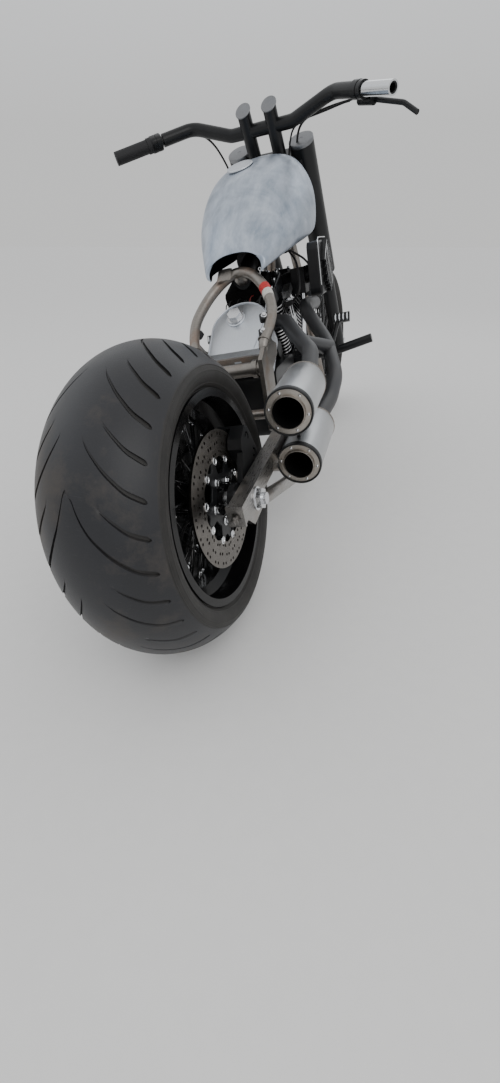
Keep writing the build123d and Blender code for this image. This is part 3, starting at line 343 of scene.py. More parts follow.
# Quads between the neighbours of a grid of points: its columns are closed round, its rows only when wrapped
def gridFaces(rows, columns, wrapRows=False):
    u = np.arange(rows if wrapRows else rows - 1)[:, None]
    v = np.arange(columns)[None, :]
    u2, v2 = (u + 1) % rows, (v + 1) % columns
    quads = np.stack([u * columns + v, u2 * columns + v, u2 * columns + v2, u * columns + v2], axis=-1)
    return quads.reshape(-1, 4).tolist()


def moved(points, place):
    matrix = np.array(place)
    return points @ matrix[:3, :3].T + matrix[:3, 3]


# Piece on a body: its points in the axes of its place, its finish or the name of one, and the angle in degrees
# past which an edge stays hard
def makePiece(name, points, faces, finish, body="chassis", place=None, sharp=35.0, weld=0.0):
    mesh = bpy.data.meshes.new(name)
    points = np.asarray(points, dtype=float).reshape(-1, 3)
    if place is not None:
        points = moved(points, place)
    mesh.from_pydata(points.tolist(), [], faces)
    shaped = bmesh.new()
    shaped.from_mesh(mesh)
    if weld:
        bmesh.ops.remove_doubles(shaped, verts=shaped.verts, dist=weld)
    bmesh.ops.recalc_face_normals(shaped, faces=shaped.faces)
    shaped.to_mesh(mesh)
    shaped.free()
    mesh.shade_smooth()
    mesh.set_sharp_from_angle(angle=math.radians(sharp))
    mesh.materials.append(finishes.get(finish, finish))
    piece = addObject(name, mesh)
    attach(piece, body)
    return piece


# Evenly spaced turns in degrees from the first one, as points (cosine, sine) times the reach
def ringSpots(count, first=0.0, reach=1.0):
    turns = [math.radians(first + 360 * index / count) for index in range(count)]
    return [(reach * math.cos(turn), reach * math.sin(turn)) for turn in turns]


# Outlines of a section, one point a column: circle, hexagon of corner radius 1, or box with rounded corners
def roundOutline(columns):
    return np.array(ringSpots(columns))


def hexOutline(columns=24):
    turn = 2 * np.pi * np.arange(columns) / columns
    reach = math.cos(math.pi / 6) / np.cos(turn % (math.pi / 3) - math.pi / 6)
    return roundOutline(columns) * reach[:, None]


def boxOutline(halfA, halfB, power, columns=32):
    base = roundOutline(columns)
    reach = (np.abs(base[:, 0] / halfA) ** power + np.abs(base[:, 1] / halfB) ** power) ** (-1 / power)
    return base * reach[:, None]


def placeAt(point, way, base=parked, spin=0.0):
    turn = Vector(way).to_track_quat("Z", "Y").to_matrix().to_4x4()
    return base @ Matrix.Translation(point) @ turn @ Matrix.Rotation(spin, 4, "Z")


# Lofted set: at each place the outline is scaled and lifted by the profile's rows (height, scale, share of the
# second outline). A number as outline is a circle's columns. Both ends are closed, or as a ring the profile is.
def loftSet(name, places, profile, outline, finish, body="chassis", second=None, sharp=35.0,
            ring=False):
    profile = np.asarray(profile, dtype=float)
    outline = roundOutline(outline) if isinstance(outline, int) else outline
    share = profile[:, 2:3, None] if profile.shape[1] > 2 else np.zeros((len(profile), 1, 1))
    section = outline[None] * (1 - share) + (outline if second is None else second)[None] * share
    flat = section * profile[:, 1][:, None, None]
    height = np.broadcast_to(profile[:, 0][:, None, None], flat[..., :1].shape)
    local = np.concatenate([flat, height], axis=-1).reshape(-1, 3)
    matrices = np.array([np.array(place) for place in places])
    points = np.einsum("kij,nj->kni", matrices[:, :3, :3], local) + matrices[:, None, :3, 3]
    rows, columns = len(profile), len(outline)
    quads = np.array(gridFaces(rows, columns, ring))
    starts = np.arange(len(places)) * rows * columns
    faces = (quads[None] + starts[:, None, None]).reshape(-1, 4).tolist()
    if not ring:
        for start in starts:
            faces.append(list(range(start, start + columns)))
            faces.append(list(range(start + (rows - 1) * columns, start + rows * columns)))
    return makePiece(name, points, faces, finish, body, sharp=sharp)


# Smooth line through points: Catmull-Rom blend of each four neighbours, sampled evenly
def smoothLine(points, samples):
    points = np.asarray(points, dtype=float)
    padded = np.concatenate([2 * points[:1] - points[1:2], points, 2 * points[-1:] - points[-2:-1]])
    a, b, c, d = (padded[i:len(padded) - 3 + i, None] for i in range(4))
    t = np.linspace(0, 1, samples, endpoint=False)[None, :, None]
    line = 0.5 * (2 * b + (c - a) * t + (2 * a - 5 * b + 4 * c - d) * t ** 2 + (3 * b - a - 3 * c + d) * t ** 3)
    return np.concatenate([line.reshape(-1, points.shape[1]), points[-1:]])


# Swept pipe: an outline carried along a line on axes square to it, its scale given along the line, ends closed
def sweepPiece(name, line, radius, finish, body="chassis", place=parked, outline=14, closed=False, sharp=35.0):
    line = np.asarray(line, dtype=float)
    outline = roundOutline(outline) if isinstance(outline, int) else outline
    ahead = np.roll(line, -1, axis=0) - np.roll(line, 1, axis=0) if closed else np.gradient(line, axis=0)
    ahead /= np.linalg.norm(ahead, axis=1, keepdims=True)
    plane = np.linalg.svd(ahead - ahead.mean(axis=0))[2]
    helper = plane[-1] if np.abs(ahead @ plane[-1]).max() < 0.97 else plane[1]
    first = np.cross(helper, ahead)
    first /= np.linalg.norm(first, axis=1, keepdims=True)
    other = np.cross(ahead, first)
    scale = np.broadcast_to(np.asarray(radius, dtype=float), len(line))[:, None, None]
    section = outline[None, :, :1] * first[:, None] + outline[None, :, 1:] * other[:, None]
    points = line[:, None] + scale * section
    rows, columns = points.shape[:2]
    faces = gridFaces(rows, columns, closed)
    if not closed:
        faces += [list(range(columns)), list(range((rows - 1) * columns, rows * columns))]
    return makePiece(name, points, faces, finish, body, place, sharp=sharp)


# Control cables: smooth splines with these control points in the fork's straight layout. The clutch cable runs
# to a clip on the left leg, the other two drop behind the upper yoke.
cables = {
    "clutchCable": {"points": [(-0.347, 1.133, 1.139), (-0.325, 1.152, 1.152), (-0.262, 1.185, 1.156),
                               (-0.205, 1.205, 1.128), (-0.177, 1.240, 1.072), (-0.1675, 1.304, 0.990),
                               (-0.165, 1.346, 0.930)],
                    "diameter": 0.007, "length": 0.414},
    "brakeHose": {"points": [(0.300, 1.205, 1.135), (0.262, 1.213, 1.136), (0.200, 1.220, 1.132),
                             (0.128, 1.226, 1.120), (0.104, 1.240, 1.060), (0.1, 1.295, 0.955),
                             (0.098, 1.330, 0.895)],
                  "diameter": 0.0075, "length": 0.422},
    "throttleCable": {"points": [(0.340, 1.150, 1.128), (0.285, 1.184, 1.130), (0.215, 1.208, 1.126),
                                 (0.110, 1.214, 1.118), (0.084, 1.226, 1.062), (0.066, 1.262, 0.985),
                                 (0.064, 1.322, 0.876)],
                      "diameter": 0.006, "length": 0.509},
}


def makeCable(name, points, diameter, length):
    data = bpy.data.curves.new(name, "CURVE")
    data.dimensions = "3D"
    data.bevel_depth = diameter / 2
    data.bevel_resolution = 3
    data.use_fill_caps = True
    spline = data.splines.new("NURBS")
    spline.points.add(len(points) - 1)
    for point, place in zip(spline.points, points):
        point.co = (*(steered @ Vector(place)), 1)
    spline.order_u = 3
    spline.use_endpoint_u = True
    data.materials.append(finishes["grip_rubber"])
    cable = addObject(name, data)
    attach(cable, "fork")


for name, row in cables.items():
    makeCable(name, **row)
print("cables are made")

# Tyres. Columns of points follow the grooves: each column is turned by the groove curve at its distance from
# the middle, so every groove is a straight strip of columns that sink by its depth.
rearTread = {"radius": 0.330, "edgeRadius": 0.269, "edgeHalf": 0.124, "wallHalf": 0.1275, "lipRadius": 0.2275,
             "beadHalf": 0.1127, "beadRadius": 0.215, "grooves": 30, "width": 0.0118, "depth": 0.0062,
             "phase": 3.0, "leftLead": 1.5}
frontTread = {"radius": 0.345, "edgeRadius": 0.319, "edgeHalf": 0.056, "wallHalf": 0.060, "lipRadius": 0.2785,
              "beadHalf": 0.0447, "beadRadius": 0.266, "grooves": 36, "width": 0.0046, "depth": 0.004,
              "phase": 0.0, "leftLead": 5.0}
# Where each of six neighbouring grooves starts and ends, as a share of the way from the middle to the shoulder
grooveReach = np.array([(0.0, 0.87), (0.35, 0.86), (0.16, 0.87), (0.35, 0.87), (0.16, 0.87), (0.33, 0.86)])
grooveShares = (0, 0.02, 0.05, 0.18, 0.4, 0.63, 0.87, 1.0)    # of the way from the middle to the shoulder
grooveTurns = (31, 28, 25, 16.5, 9, 3.1, 0, -1)                # degrees that a groove leads its shoulder end
# Low ribs round the wall: share of the way from the shoulder to the lip, height and spread
wallRibs = [(0.84, 0.0014, 0.025), (0.27, 0.001, 0.02), (0.02, 0.0012, 0.02)]


def makeTread(name, size, hubPlace, body, node):
    rise = size["radius"] - size["edgeRadius"]
    crown = (size["edgeHalf"] ** 2 + rise ** 2) / (2 * rise)
    half = math.asin(size["edgeHalf"] / crown)
    # tread profile, an arc across the crown: x = crown sin a, r = radius - crown (1 - cos a)
    share = np.linspace(-1, 1, 97)
    treadX = crown * np.sin(share * half)
    treadR = size["radius"] - crown * (1 - np.cos(share * half))
    # wall profile: arc bulging from the shoulder to the lip, each rib added as a bell curve
    t = np.linspace(0, 1, 40)[1:]
    wallR = size["edgeRadius"] + (size["lipRadius"] - size["edgeRadius"]) * t
    line = size["edgeHalf"] * (1 - t) + size["beadHalf"] * t
    ribs = sum(height * np.exp(-((t - at) / spread) ** 2) for at, height, spread in wallRibs)
    wallX = line + 4 * t * (1 - t) * (size["wallHalf"] - (size["edgeHalf"] + size["beadHalf"]) / 2) + ribs
    toe = 0.004
    foot = np.array([(size["beadHalf"], size["beadRadius"] + toe), (size["beadHalf"] - toe, size["beadRadius"])])
    x = np.concatenate([-foot[::-1, 0], -wallX[::-1], treadX, wallX, foot[:, 0]])
    r = np.concatenate([foot[::-1, 1], wallR[::-1], treadR, wallR, foot[:, 1]])
    across = np.concatenate([np.full(len(t) + 2, -1.0), share, np.full(len(t) + 2, 1.0)])
    isTread = (np.abs(across) < 1).astype(float)
    # groove curve: degrees turned at each share of the way to the shoulder, steep near the middle
    curve = np.interp(np.abs(across), grooveShares, grooveTurns)
    smooth = np.convolve(np.pad(curve, 3, mode="edge"), np.ones(7) / 7, mode="valid")
    lead = np.where(across >= 0, smooth, smooth + size["leftLead"]) + size["phase"]
    count = size["grooves"]
    # eleven columns a groove: edge, wall foot, floor, wall foot, edge, then plain tread to the next
    offsets = np.array([-0.5, -0.34, 0.0, 0.34, 0.5])
    sink = np.array([0.0, 1.0, 1.0, 1.0, 0.0])
    plain = np.linspace(0, 1, 8)[1:-1]
    kind = np.arange(count) % 6
    reach = np.clip(np.abs(across), 0, 1)
    start, stop = grooveReach[kind, 0][:, None], grooveReach[kind, 1][:, None]
    along = np.clip((reach[None] - start) / (stop - start), 0, 1)
    # slim at the end near the middle, blunt at the shoulder
    blunt = np.clip(along / 0.85, 0, 1) ** 0.5 * np.clip((1 - along) / 0.05, 0, 1) ** 0.5
    taper = np.where((reach[None] > start) & (reach[None] < stop), blunt, 0) * isTread
    width = size["width"] * (0.3 + 0.7 * taper) / size["radius"]
    base = 2 * np.pi * np.arange(count) / count
    grooveTurn = base[:, None, None] + offsets[None, :, None] * width[:, None, :]
    grooveSink = sink[None, :, None] * taper[:, None, :] * size["depth"]
    nextStart = np.roll(grooveTurn[:, 0], -1, axis=0)
    nextStart[-1] += 2 * np.pi
    lastEdge = grooveTurn[:, -1]
    plainTurn = lastEdge[:, None] + plain[None, :, None] * (nextStart - lastEdge)[:, None]
    turn = np.concatenate([grooveTurn, plainTurn], axis=1).reshape(-1, len(across))
    drop = np.concatenate([grooveSink, np.zeros_like(plainTurn)], axis=1).reshape(-1, len(across))
    turn = turn + np.radians(lead)[None]
    radius = r[None] - drop
    points = np.stack([np.broadcast_to(x, turn.shape), -radius * np.cos(turn), radius * np.sin(turn)], axis=-1)
    faces = gridFaces(*points.shape[:2], True)
    piece = makePiece(name, points, faces, "tyre", body, hubPlace, sharp=40)
    # 1 on the walls, and in the grooves by how deep they sink: there the wall colour is painted shade
    wallAndGrooveShade = np.maximum(np.abs(across)[None] >= 1, drop / size["depth"]).ravel()
    piece.data.attributes.new("wall", "FLOAT", "POINT").data.foreach_set("value", wallAndGrooveShade)
    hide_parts(node)
    return piece


rearWheel = parked @ Matrix.Translation((0, 0, layout["axleHeight"]))
frontWheel = steered @ Matrix.Translation(frontHub)
rearTyre = makeTread("rearTyre", rearTread, rearWheel, "rear_wheel", "rear_tyre")
frontTyre = makeTread("frontTyre", frontTread, frontWheel, "front_wheel", "front_tyre")
print("tyres", len(rearTyre.data.polygons), len(frontTyre.data.polygons))

boltProfile = [(0, 1.32, 0), (0.14, 1.36, 0), (0.2, 1.3, 0), (0.2, 1.0, 1), (0.86, 1.0, 1), (0.95, 0.94, 0.7),
               (1.0, 0.8, 0), (0.97, 0.3, 0)]
socketProfile = [(0, 1.0, 0), (0.82, 1.0, 0), (0.95, 0.95, 0), (1.0, 0.86, 0), (1.0, 0.5, 1), (0.5, 0.46, 1)]


# Bolt heads: table rows of (point, way, corner radius)
def addBolts(name, rows, finish, body="chassis", base=parked, profile=boltProfile):
    places = [placeAt(point, way, base, 0.3 * index) @ Matrix.Scale(size, 4)
              for index, (point, way, size) in enumerate(rows)]
    loftSet(name, places, profile, 24, finish, body, second=hexOutline(), sharp=28)


beadForm = {"columns": 96, "sides": 8, "scales": 14, "swell": 0.3}


# Weld beads: rings of overlapping scales round a tube's end, rows of (point, way, tube radius)
def addBeads(name, rows, finish, thick):
    columns, sides = beadForm["columns"], beadForm["sides"]
    turn = 2 * np.pi * np.arange(columns) / columns
    scales = 1 + beadForm["swell"] * np.abs(np.sin(turn * beadForm["scales"]))
    section = 2 * np.pi * np.arange(sides) / sides
    sets, faces = [], []
    for index, (point, way, reach) in enumerate(rows):
        around = reach + thick * scales[:, None] * np.cos(section)[None]
        lift = thick * scales[:, None] * np.sin(section)[None]
        local = np.stack([around * np.cos(turn)[:, None], around * np.sin(turn)[:, None], lift], axis=-1)
        sets.append(moved(local.reshape(-1, 3), placeAt(point, way)))
        faces += (np.array(gridFaces(columns, sides, True)) + index * columns * sides).tolist()
    makePiece(name, np.concatenate(sets), faces, finish, sharp=60)


# Fork and bar lines in the straight layout
rakeSin, rakeCos = math.sin(math.radians(layout["rake"])), math.cos(math.radians(layout["rake"]))
forkDown = Vector((0, rakeSin, -rakeCos))
forkLine = {"legTop": (0, 1.261, 1.069), "legX": 0.118, "stemBehind": 0.035}
barMiddle = Vector((0, 1.18894, 1.11829))
barEnd = barMiddle + Vector((0.470, -0.198, -0.019))
barBend = barMiddle + Vector((0.254, -0.010, 0.043))
barInward = (barBend - barEnd).normalized()


def onLeg(drop, x):
    return Vector(forkLine["legTop"]) + forkDown * drop + Vector((x, 0, 0))


def onStem(drop, ahead=0.0, x=0.0):
    return onLeg(drop, x) - Vector((0, rakeCos, rakeSin)) * (forkLine["stemBehind"] - ahead)


def onLeftBar(distance):
    point = barEnd + barInward * distance
    return Vector((-point.x, point.y, point.z))


# Fuel tank: rows of share along the backbone, half width, and the heights of bottom, widest, ridge and top above
# the backbone's axis. Rows are blended into a smooth series; each section is a control outline whose corners are
# cut three times (quadratic spline), the mouth's arch is blended from a thin lip at the rear into the tunnel.
tankRows = [
    (-0.085, 0.096, 0.037, 0.060, 0.090, 0.101),
    (0.06, 0.127, 0.024, 0.062, 0.136, 0.161),
    (0.24, 0.163, 0.006, 0.060, 0.174, 0.197),
    (0.46, 0.180, -0.026, 0.050, 0.180, 0.202),
    (0.66, 0.177, -0.054, 0.030, 0.156, 0.181),
    (0.84, 0.148, -0.068, 0.010, 0.102, 0.132),
    (0.97, 0.100, -0.064, -0.008, 0.050, 0.072),
]
# the last two keys bound the faces inside the arch that are painted near black as shade
tankForm = {"axisStart": (0.716, 0.701), "axisRun": (0.5895, 0.2307), "ridge": 0.70, "foot": 0.80,
            "tunnel": 0.050, "lip": 0.008, "scoop": 0.30, "lean": 0.016, "leanFrom": 0.04, "leanTall": 0.06,
            "leanShare": 0.16, "frontRoom": 0.08, "shadeFrom": 0.672, "shadeBelow": 0.03}
steerBack = onStem(0.0, -tankForm["frontRoom"])      # the front is cut square to the fork, clear of its legs


def makeFuelTank():
    share, half, low, widest, ridge, top = smoothLine(tankRows, 12).T
    foot, peak = tankForm["foot"] * half, tankForm["ridge"] * half
    rightHalf = [(foot, low), (half * 0.95, low + 0.003), (half, widest), (half * 0.93, (widest + ridge) / 2),
                 (peak, ridge), (peak * 0.42, top)]
    control = rightHalf + [(-x, z) for x, z in rightHalf[::-1]]
    outer = np.stack([np.stack(pair, axis=-1) for pair in control], axis=1)
    for _ in range(3):
        a, b = outer[:, :-1], outer[:, 1:]
        cut = np.stack([0.75 * a + 0.25 * b, 0.25 * a + 0.75 * b], axis=2).reshape(len(outer), -1, 2)
        outer = np.concatenate([outer[:, :1], cut, outer[:, -1:]], axis=1)
    columns = outer.shape[1]
    # inner arch: a flattened half circle, x = w cos, z = low + h sin, made squarer towards the tunnel by powers
    rearShare = share[0]
    blend = np.clip((share - rearShare) / tankForm["scoop"], 0, 1)[:, None]
    blend = blend * blend * (3 - 2 * blend)
    around = np.linspace(0, np.pi, columns)[None]
    wide = (half[:, None] * 0.95 - tankForm["lip"]) * (1 - blend) + tankForm["tunnel"] * blend
    tall = (top[:, None] - tankForm["lip"]) * (1 - blend) + tankForm["tunnel"] * blend - low[:, None]
    power = 0.8 * (1 - blend) + 0.6 * blend
    inner = np.stack([wide * np.sign(np.cos(around)) * np.abs(np.cos(around)) ** power,
                      low[:, None] + tall * np.sin(around) ** power], axis=-1)
    # rear lip: two short rows that round the edge from the skin over to the arch
    mid = (outer[0] + inner[0]) / 2
    rearRows = [0.5 * mid + 0.5 * outer[0], 0.15 * mid + 0.85 * outer[0]]
    section = np.concatenate([outer, inner[:, ::-1]], axis=1)
    lipIn = [0.5 * mid + 0.5 * inner[0], 0.15 * mid + 0.85 * inner[0]]
    lip = np.stack([np.concatenate([o, i[::-1]]) for o, i in zip(rearRows, lipIn)])
    section = np.concatenate([lip, section])
    runs = np.concatenate([[rearShare - 0.0065, rearShare - 0.004], share])
    axisY = tankForm["axisStart"][0] + tankForm["axisRun"][0] * runs
    axisZ = tankForm["axisStart"][1] + tankForm["axisRun"][1] * runs
    points = np.stack([section[..., 0], np.broadcast_to(axisY[:, None], section.shape[:2]),
                       axisZ[:, None] + section[..., 1]], axis=-1)
    # the mouth's arch leans forward at its top: rows near the rear end shift with height
    nearRear = np.clip(1 - (runs - runs[0]) / tankForm["leanShare"], 0, 1) ** 1.5
    rise = (section[..., 1] - tankForm["leanFrom"]) / tankForm["leanTall"]
    points[..., 1] += nearRear[:, None] * np.clip(rise, 0, 1) * tankForm["lean"]
    normal = np.array([0, rakeCos, rakeSin])
    run = np.array([0, *tankForm["axisRun"]])
    over = np.clip((points - np.array(steerBack)) @ normal / (run @ normal), 0, None)
    points = points - over[..., None] * run
    rows, total = points.shape[:2]
    faces = gridFaces(rows, total)
    column = np.arange(columns - 1)
    for row in (0, rows - 1):
        start = row * total
        faces += np.stack([start + column, start + column + 1, start + total - 2 - column,
                           start + total - 1 - column], axis=-1).tolist()
    tank = makePiece("fuelTank", points, faces, "tank_steel", "chassis", parked, sharp=50,
                     weld=1e-5)
    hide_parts("fuel_tank")
    # the arch and tunnel inside are painted near black as shade: faces whose normal looks at the axis take the
    # second finish
    tank.data.materials.append(sootAndShadeBlack)
    count = len(tank.data.polygons)
    centres, normals = np.empty(count * 3), np.empty(count * 3)
    tank.data.polygons.foreach_get("center", centres)
    tank.data.polygons.foreach_get("normal", normals)
    centres = moved(centres.reshape(-1, 3), parked.inverted())
    normals = moved(normals.reshape(-1, 3), parked.inverted().to_3x3().to_4x4())
    share = (centres[:, 1] - tankForm["axisStart"][0]) / tankForm["axisRun"][0]
    axisZ = tankForm["axisStart"][1] + tankForm["axisRun"][1] * share
    away = centres - np.stack([share * 0, centres[:, 1], axisZ - tankForm["shadeBelow"]], axis=1)
    inside = ((normals * away).sum(axis=1) < 0) & (centres[:, 1] > tankForm["shadeFrom"])
    tank.data.polygons.foreach_set("material_index", inside.astype(np.int32))


makeFuelTank()
print("fuel tank is made")

# Wheel details: a second set of crossing spokes beside the solid's, and nipples on every spoke
spokeForm = {"count": 40, "sweep": 26, "radius": 0.0023, "nippleRadius": 0.0042, "nippleLong": 0.019}
rearSpokes = {"hubX": 0.056, "hubR": 0.046, "rimX": 0.021, "rimR": 0.195}
frontSpokes = {"hubX": 0.030, "hubR": 0.030, "rimX": 0.0063, "rimR": 0.254}


def spokeEnds(size, index):
    side = 1 if index % 2 else -1
    atRim = 2 * math.pi * (index + 0.5) / spokeForm["count"]
    atHub = atRim + math.radians(spokeForm["sweep"] * (1 if index % 4 < 2 else -1))
    low = Vector((side * size["hubX"], size["hubR"] * math.cos(atHub), size["hubR"] * math.sin(atHub)))
    high = Vector((side * size["rimX"], size["rimR"] * math.cos(atRim), size["rimR"] * math.sin(atRim)))
    return low, high


def makeSpokeWork(name, wheel, body, size):
    count, tall, radius = spokeForm["count"], spokeForm["nippleLong"], spokeForm["radius"]
    # the added spokes are the solid's mirrored in X and turned on by half a spoke's step
    other = Matrix.Rotation(math.pi / count, 4, "X") @ Matrix.Scale(-1, 4, (1, 0, 0))
    places, ends = [], []
    for index in range(count):
        pair = spokeEnds(size, index)
        added = [other @ end for end in pair]
        places.append(placeAt(added[0], added[1] - added[0], wheel))
        ends += [placeAt(end - (end - start).normalized() * tall, end - start, wheel)
                 for start, end in (pair, added)]
    loftSet(name + "Spokes", places, [(0.002, radius), ((added[1] - added[0]).length, radius)], 8,
            "black_gloss", body)
    profile = [(0, 0.62, 0), (0.12 * tall, 0.8, 0), (0.5 * tall, 0.86, 1), (tall, 1.0, 1)]
    loftSet(name + "Nipples", ends, [(h, r * spokeForm["nippleRadius"], s) for h, r, s in profile], 12,
            "chrome", body, second=hexOutline(12))


makeSpokeWork("rear", rearWheel, "rear_wheel", rearSpokes)
makeSpokeWork("front", frontWheel, "front_wheel", frontSpokes)

# Brake discs: an annulus cut into cells, each with a round hole; the inner edge follows a cosine of ten lobes.
# The carrier is a polar star, its reach a smooth pulse over each of five arms. Bobbins sit where the two meet.
discSize = {"outer": 0.146, "inner": 0.089, "lobe": 0.003, "thick": 0.005, "cells": 42, "rows": 3, "hole": 0.0034,
            "hub": 0.0343, "collar": 0.056, "arms": 5, "peak": 0.0865, "dip": 0.010, "bobbins": 10,
            "bobbinReach": 0.0865, "boltReach": 0.046, "boltSize": 0.0075}
bobbinProfile = [(0, 0.0088), (0.0085, 0.0088), (0.0092, 0.0078), (0.0092, 0.006), (0.0078, 0.0054),
                 (0.0078, 0.003)]


def makeDisc(name, wheel, x, body, node, finish):
    cells, rows = discSize["cells"], discSize["rows"]
    side = np.linspace(0, 1, 5)[:4]
    edge = np.concatenate([np.stack([side, side * 0], 1), np.stack([side * 0 + 1, side], 1),
                           np.stack([1 - side, side * 0 + 1], 1), np.stack([side * 0, 1 - side], 1)])
    spin = np.arctan2(edge[:, 1] - 0.5, edge[:, 0] - 0.5)
    cellTurn = 2 * np.pi / cells
    column, row = np.meshgrid(np.arange(cells), np.arange(rows), indexing="ij")
    column, row = column.ravel(), row.ravel()
    lift = (discSize["outer"] - discSize["inner"]) / rows
    middle = np.where((column + row) % 2 == 0, 0.33, 0.67)
    reach = discSize["inner"] + (row + 0.5) * lift
    holeA = middle[:, None] + discSize["hole"] / (reach[:, None] * cellTurn) * np.cos(spin)[None]
    holeB = 0.5 + discSize["hole"] / lift * np.sin(spin)[None] + 0 * holeA
    a = np.concatenate([np.broadcast_to(edge[:, 0], holeA.shape), holeA], axis=1) + column[:, None]
    b = np.concatenate([np.broadcast_to(edge[:, 1], holeB.shape), holeB], axis=1) + row[:, None]
    turn = a * cellTurn
    low = discSize["inner"] + discSize["lobe"] * np.cos(discSize["bobbins"] * turn)
    radius = low + (discSize["outer"] - low) * b / rows
    flat = np.stack([radius * np.cos(turn), radius * np.sin(turn)], axis=-1)
    half = discSize["thick"] / 2
    points = np.stack([np.concatenate([np.full(flat.shape[:2] + (1,), at), flat], axis=-1)
                       for at in (x + half, x - half)])
    total = len(flat) * 32
    k = np.arange(16)
    n = (k + 1) % 16
    base = (np.arange(len(flat)) * 32)[:, None]
    skin = np.stack([base + k, base + n, base + 16 + n, base + 16 + k], axis=-1)
    wall = np.stack([base + 16 + k, base + 16 + n, base + 16 + n + total, base + 16 + k + total], axis=-1)
    inner = base[row == 0]
    outer = base[row == rows - 1]
    m = np.arange(4)
    rims = [np.stack([inner + m, inner + m + 1, inner + m + 1 + total, inner + m + total], axis=-1),
            np.stack([outer + 8 + m, outer + 9 + m, outer + 9 + m + total, outer + 8 + m + total], axis=-1)]
    faces = np.concatenate([part.reshape(-1, 4) for part in (skin, skin + total, wall, *rims)]).tolist()
    disc = makePiece(name, points, faces, finish, body, wheel, sharp=30, weld=1e-6)
    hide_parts(node)
    # carrier: reach = collar + (peak - collar) * pulse - dip * notch, both waves of the turn
    turn = 2 * np.pi * np.arange(300) / 300
    wave = np.cos(discSize["arms"] * turn - math.pi)
    pulse = 1 / (1 + np.exp(-9 * (wave + 0.1)))
    notch = np.exp(-((1 - wave) / 0.16) ** 2)
    star = discSize["collar"] + (discSize["peak"] - discSize["collar"]) * pulse - discSize["dip"] * notch
    bore = np.full_like(star, discSize["hub"])
    thin, edge = half * 0.9, 0.001
    rings = [(bore, x - thin), (star - edge, x - thin), (star, x - thin + edge), (star, x + thin - edge),
             (star - edge, x + thin), (bore, x + thin)]
    points = np.stack([np.stack([np.full_like(turn, at), r * np.cos(turn), r * np.sin(turn)], axis=-1)
                       for r, at in rings])
    makePiece(name + "Carrier", points, gridFaces(len(rings), 300, True), "black_satin", body, wheel)
    outward = 1 if x > 0 else -1
    way = (outward, 0, 0)
    spots = [placeAt((x - outward * 0.0045, *spot), way, wheel)
             for spot in ringSpots(discSize["bobbins"], 18, discSize["bobbinReach"])]
    loftSet(name + "Bobbins", spots, bobbinProfile, 20, "chrome", body)
    bolts = [((x + outward * 0.002, *spot), way, discSize["boltSize"])
             for spot in ringSpots(discSize["arms"], 36, discSize["boltReach"])]
    addBolts(name + "Bolts", bolts, "chrome", body, wheel)


makeDisc("rearDisc", rearWheel, 0.1135, "rear_wheel", "rear_disc", "disc_steel")
makeDisc("frontDisc", frontWheel, -0.062, "front_wheel", "front_disc", ownFinish["front_disc"])
print("wheels are dressed")

# Cans: turned shells, each with a black rolled lip, a riveted tip plate with a raised collar and a sooty bore.
# Profiles are rows of distance from the tip and radius.
cans = {"upper": {"tip": (0.245, 0.138, 0.460), "start": (0.242, 0.352, 0.4716)},
        "lower": {"tip": (0.238, 0.190, 0.320), "start": (0.241, 0.424, 0.343)}}
canSize = {"radius": 0.0525, "pipe": 0.0262, "cone": 0.028, "bore": 0.0332, "rivetReach": 0.0437, "rivets": 6}
tipPlate = [(0.0006, 0.0493), (0.0004, 0.0382), (-0.004, 0.0374), (-0.0066, 0.0364), (-0.0069, 0.0354),
            (-0.0052, 0.0343), (0.004, 0.0342), (0.006, 0.038), (0.006, 0.0493)]
rivetProfile = [(0, 0.0034), (0.0008, 0.0034), (0.0018, 0.0026), (0.0022, 0.001)]
headerJoint = {"points": [(0.242, 0.345, 0.4713), (0.2415, 0.374, 0.4728), (0.241, 0.400, 0.4745)],
               "radius": 0.0222}


def makeCan(name, tip, start):
    tip, start = Vector(tip), Vector(start)
    way, long = (start - tip).normalized(), (start - tip).length
    base = placeAt(tip, way)
    wide, pipe, cone, bore = (canSize[key] for key in ("radius", "pipe", "cone", "bore"))
    shell = [(long, 0.0222), (long, pipe), (long - 0.003, pipe + 0.003), (long - cone, wide - 0.0012),
             (long - cone - 0.004, wide), (0.008, wide), (0.003, wide - 0.0004), (0.003, 0.049), (0.112, 0.047),
             (long - cone, 0.044)]
    can = loftSet(name + "Can", [base], shell, 64, "can_alloy", ring=True)
    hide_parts("muffler_" + name)
    lip = [(0.010, wide + 0.0001), (0.010, wide + 0.0014), (0.002, wide + 0.0018), (-0.0015, wide + 0.0008),
           (-0.0028, wide - 0.001), (-0.0022, wide - 0.0028), (0.0008, wide - 0.0034), (0.004, wide - 0.0034)]
    loftSet(name + "TipLip", [base], lip, 64, "black_satin", ring=True)
    loftSet(name + "TipPlate", [base], tipPlate, 64, warmSteel, ring=True)
    cup = [(0.114, bore + 0.001), (-0.003, bore + 0.001), (-0.004, bore), (0.112, bore), (0.1125, 0.01)]
    loftSet(name + "Bore", [base], cup, 48, sootAndShadeBlack)
    rivets = [base @ Matrix.Translation((*spot, 0.0006)) @ Matrix.Rotation(math.pi, 4, "X")
              for spot in ringSpots(canSize["rivets"], 12, canSize["rivetReach"])]
    loftSet(name + "TipRivets", rivets, rivetProfile, 14, "chrome")
    welds = [(start - way * 0.001, way, pipe), (start - way * cone, way, wide - 0.0008)]
    addBeads(name + "CanWeld", welds, "raw_steel", 0.0016)


for name, row in cans.items():
    makeCan(name, **row)
sweepPiece("upperHeaderJoint", smoothLine(headerJoint["points"], 4), headerJoint["radius"],
           ownFinish["header_upper"], outline=40)
print("cans are dressed")

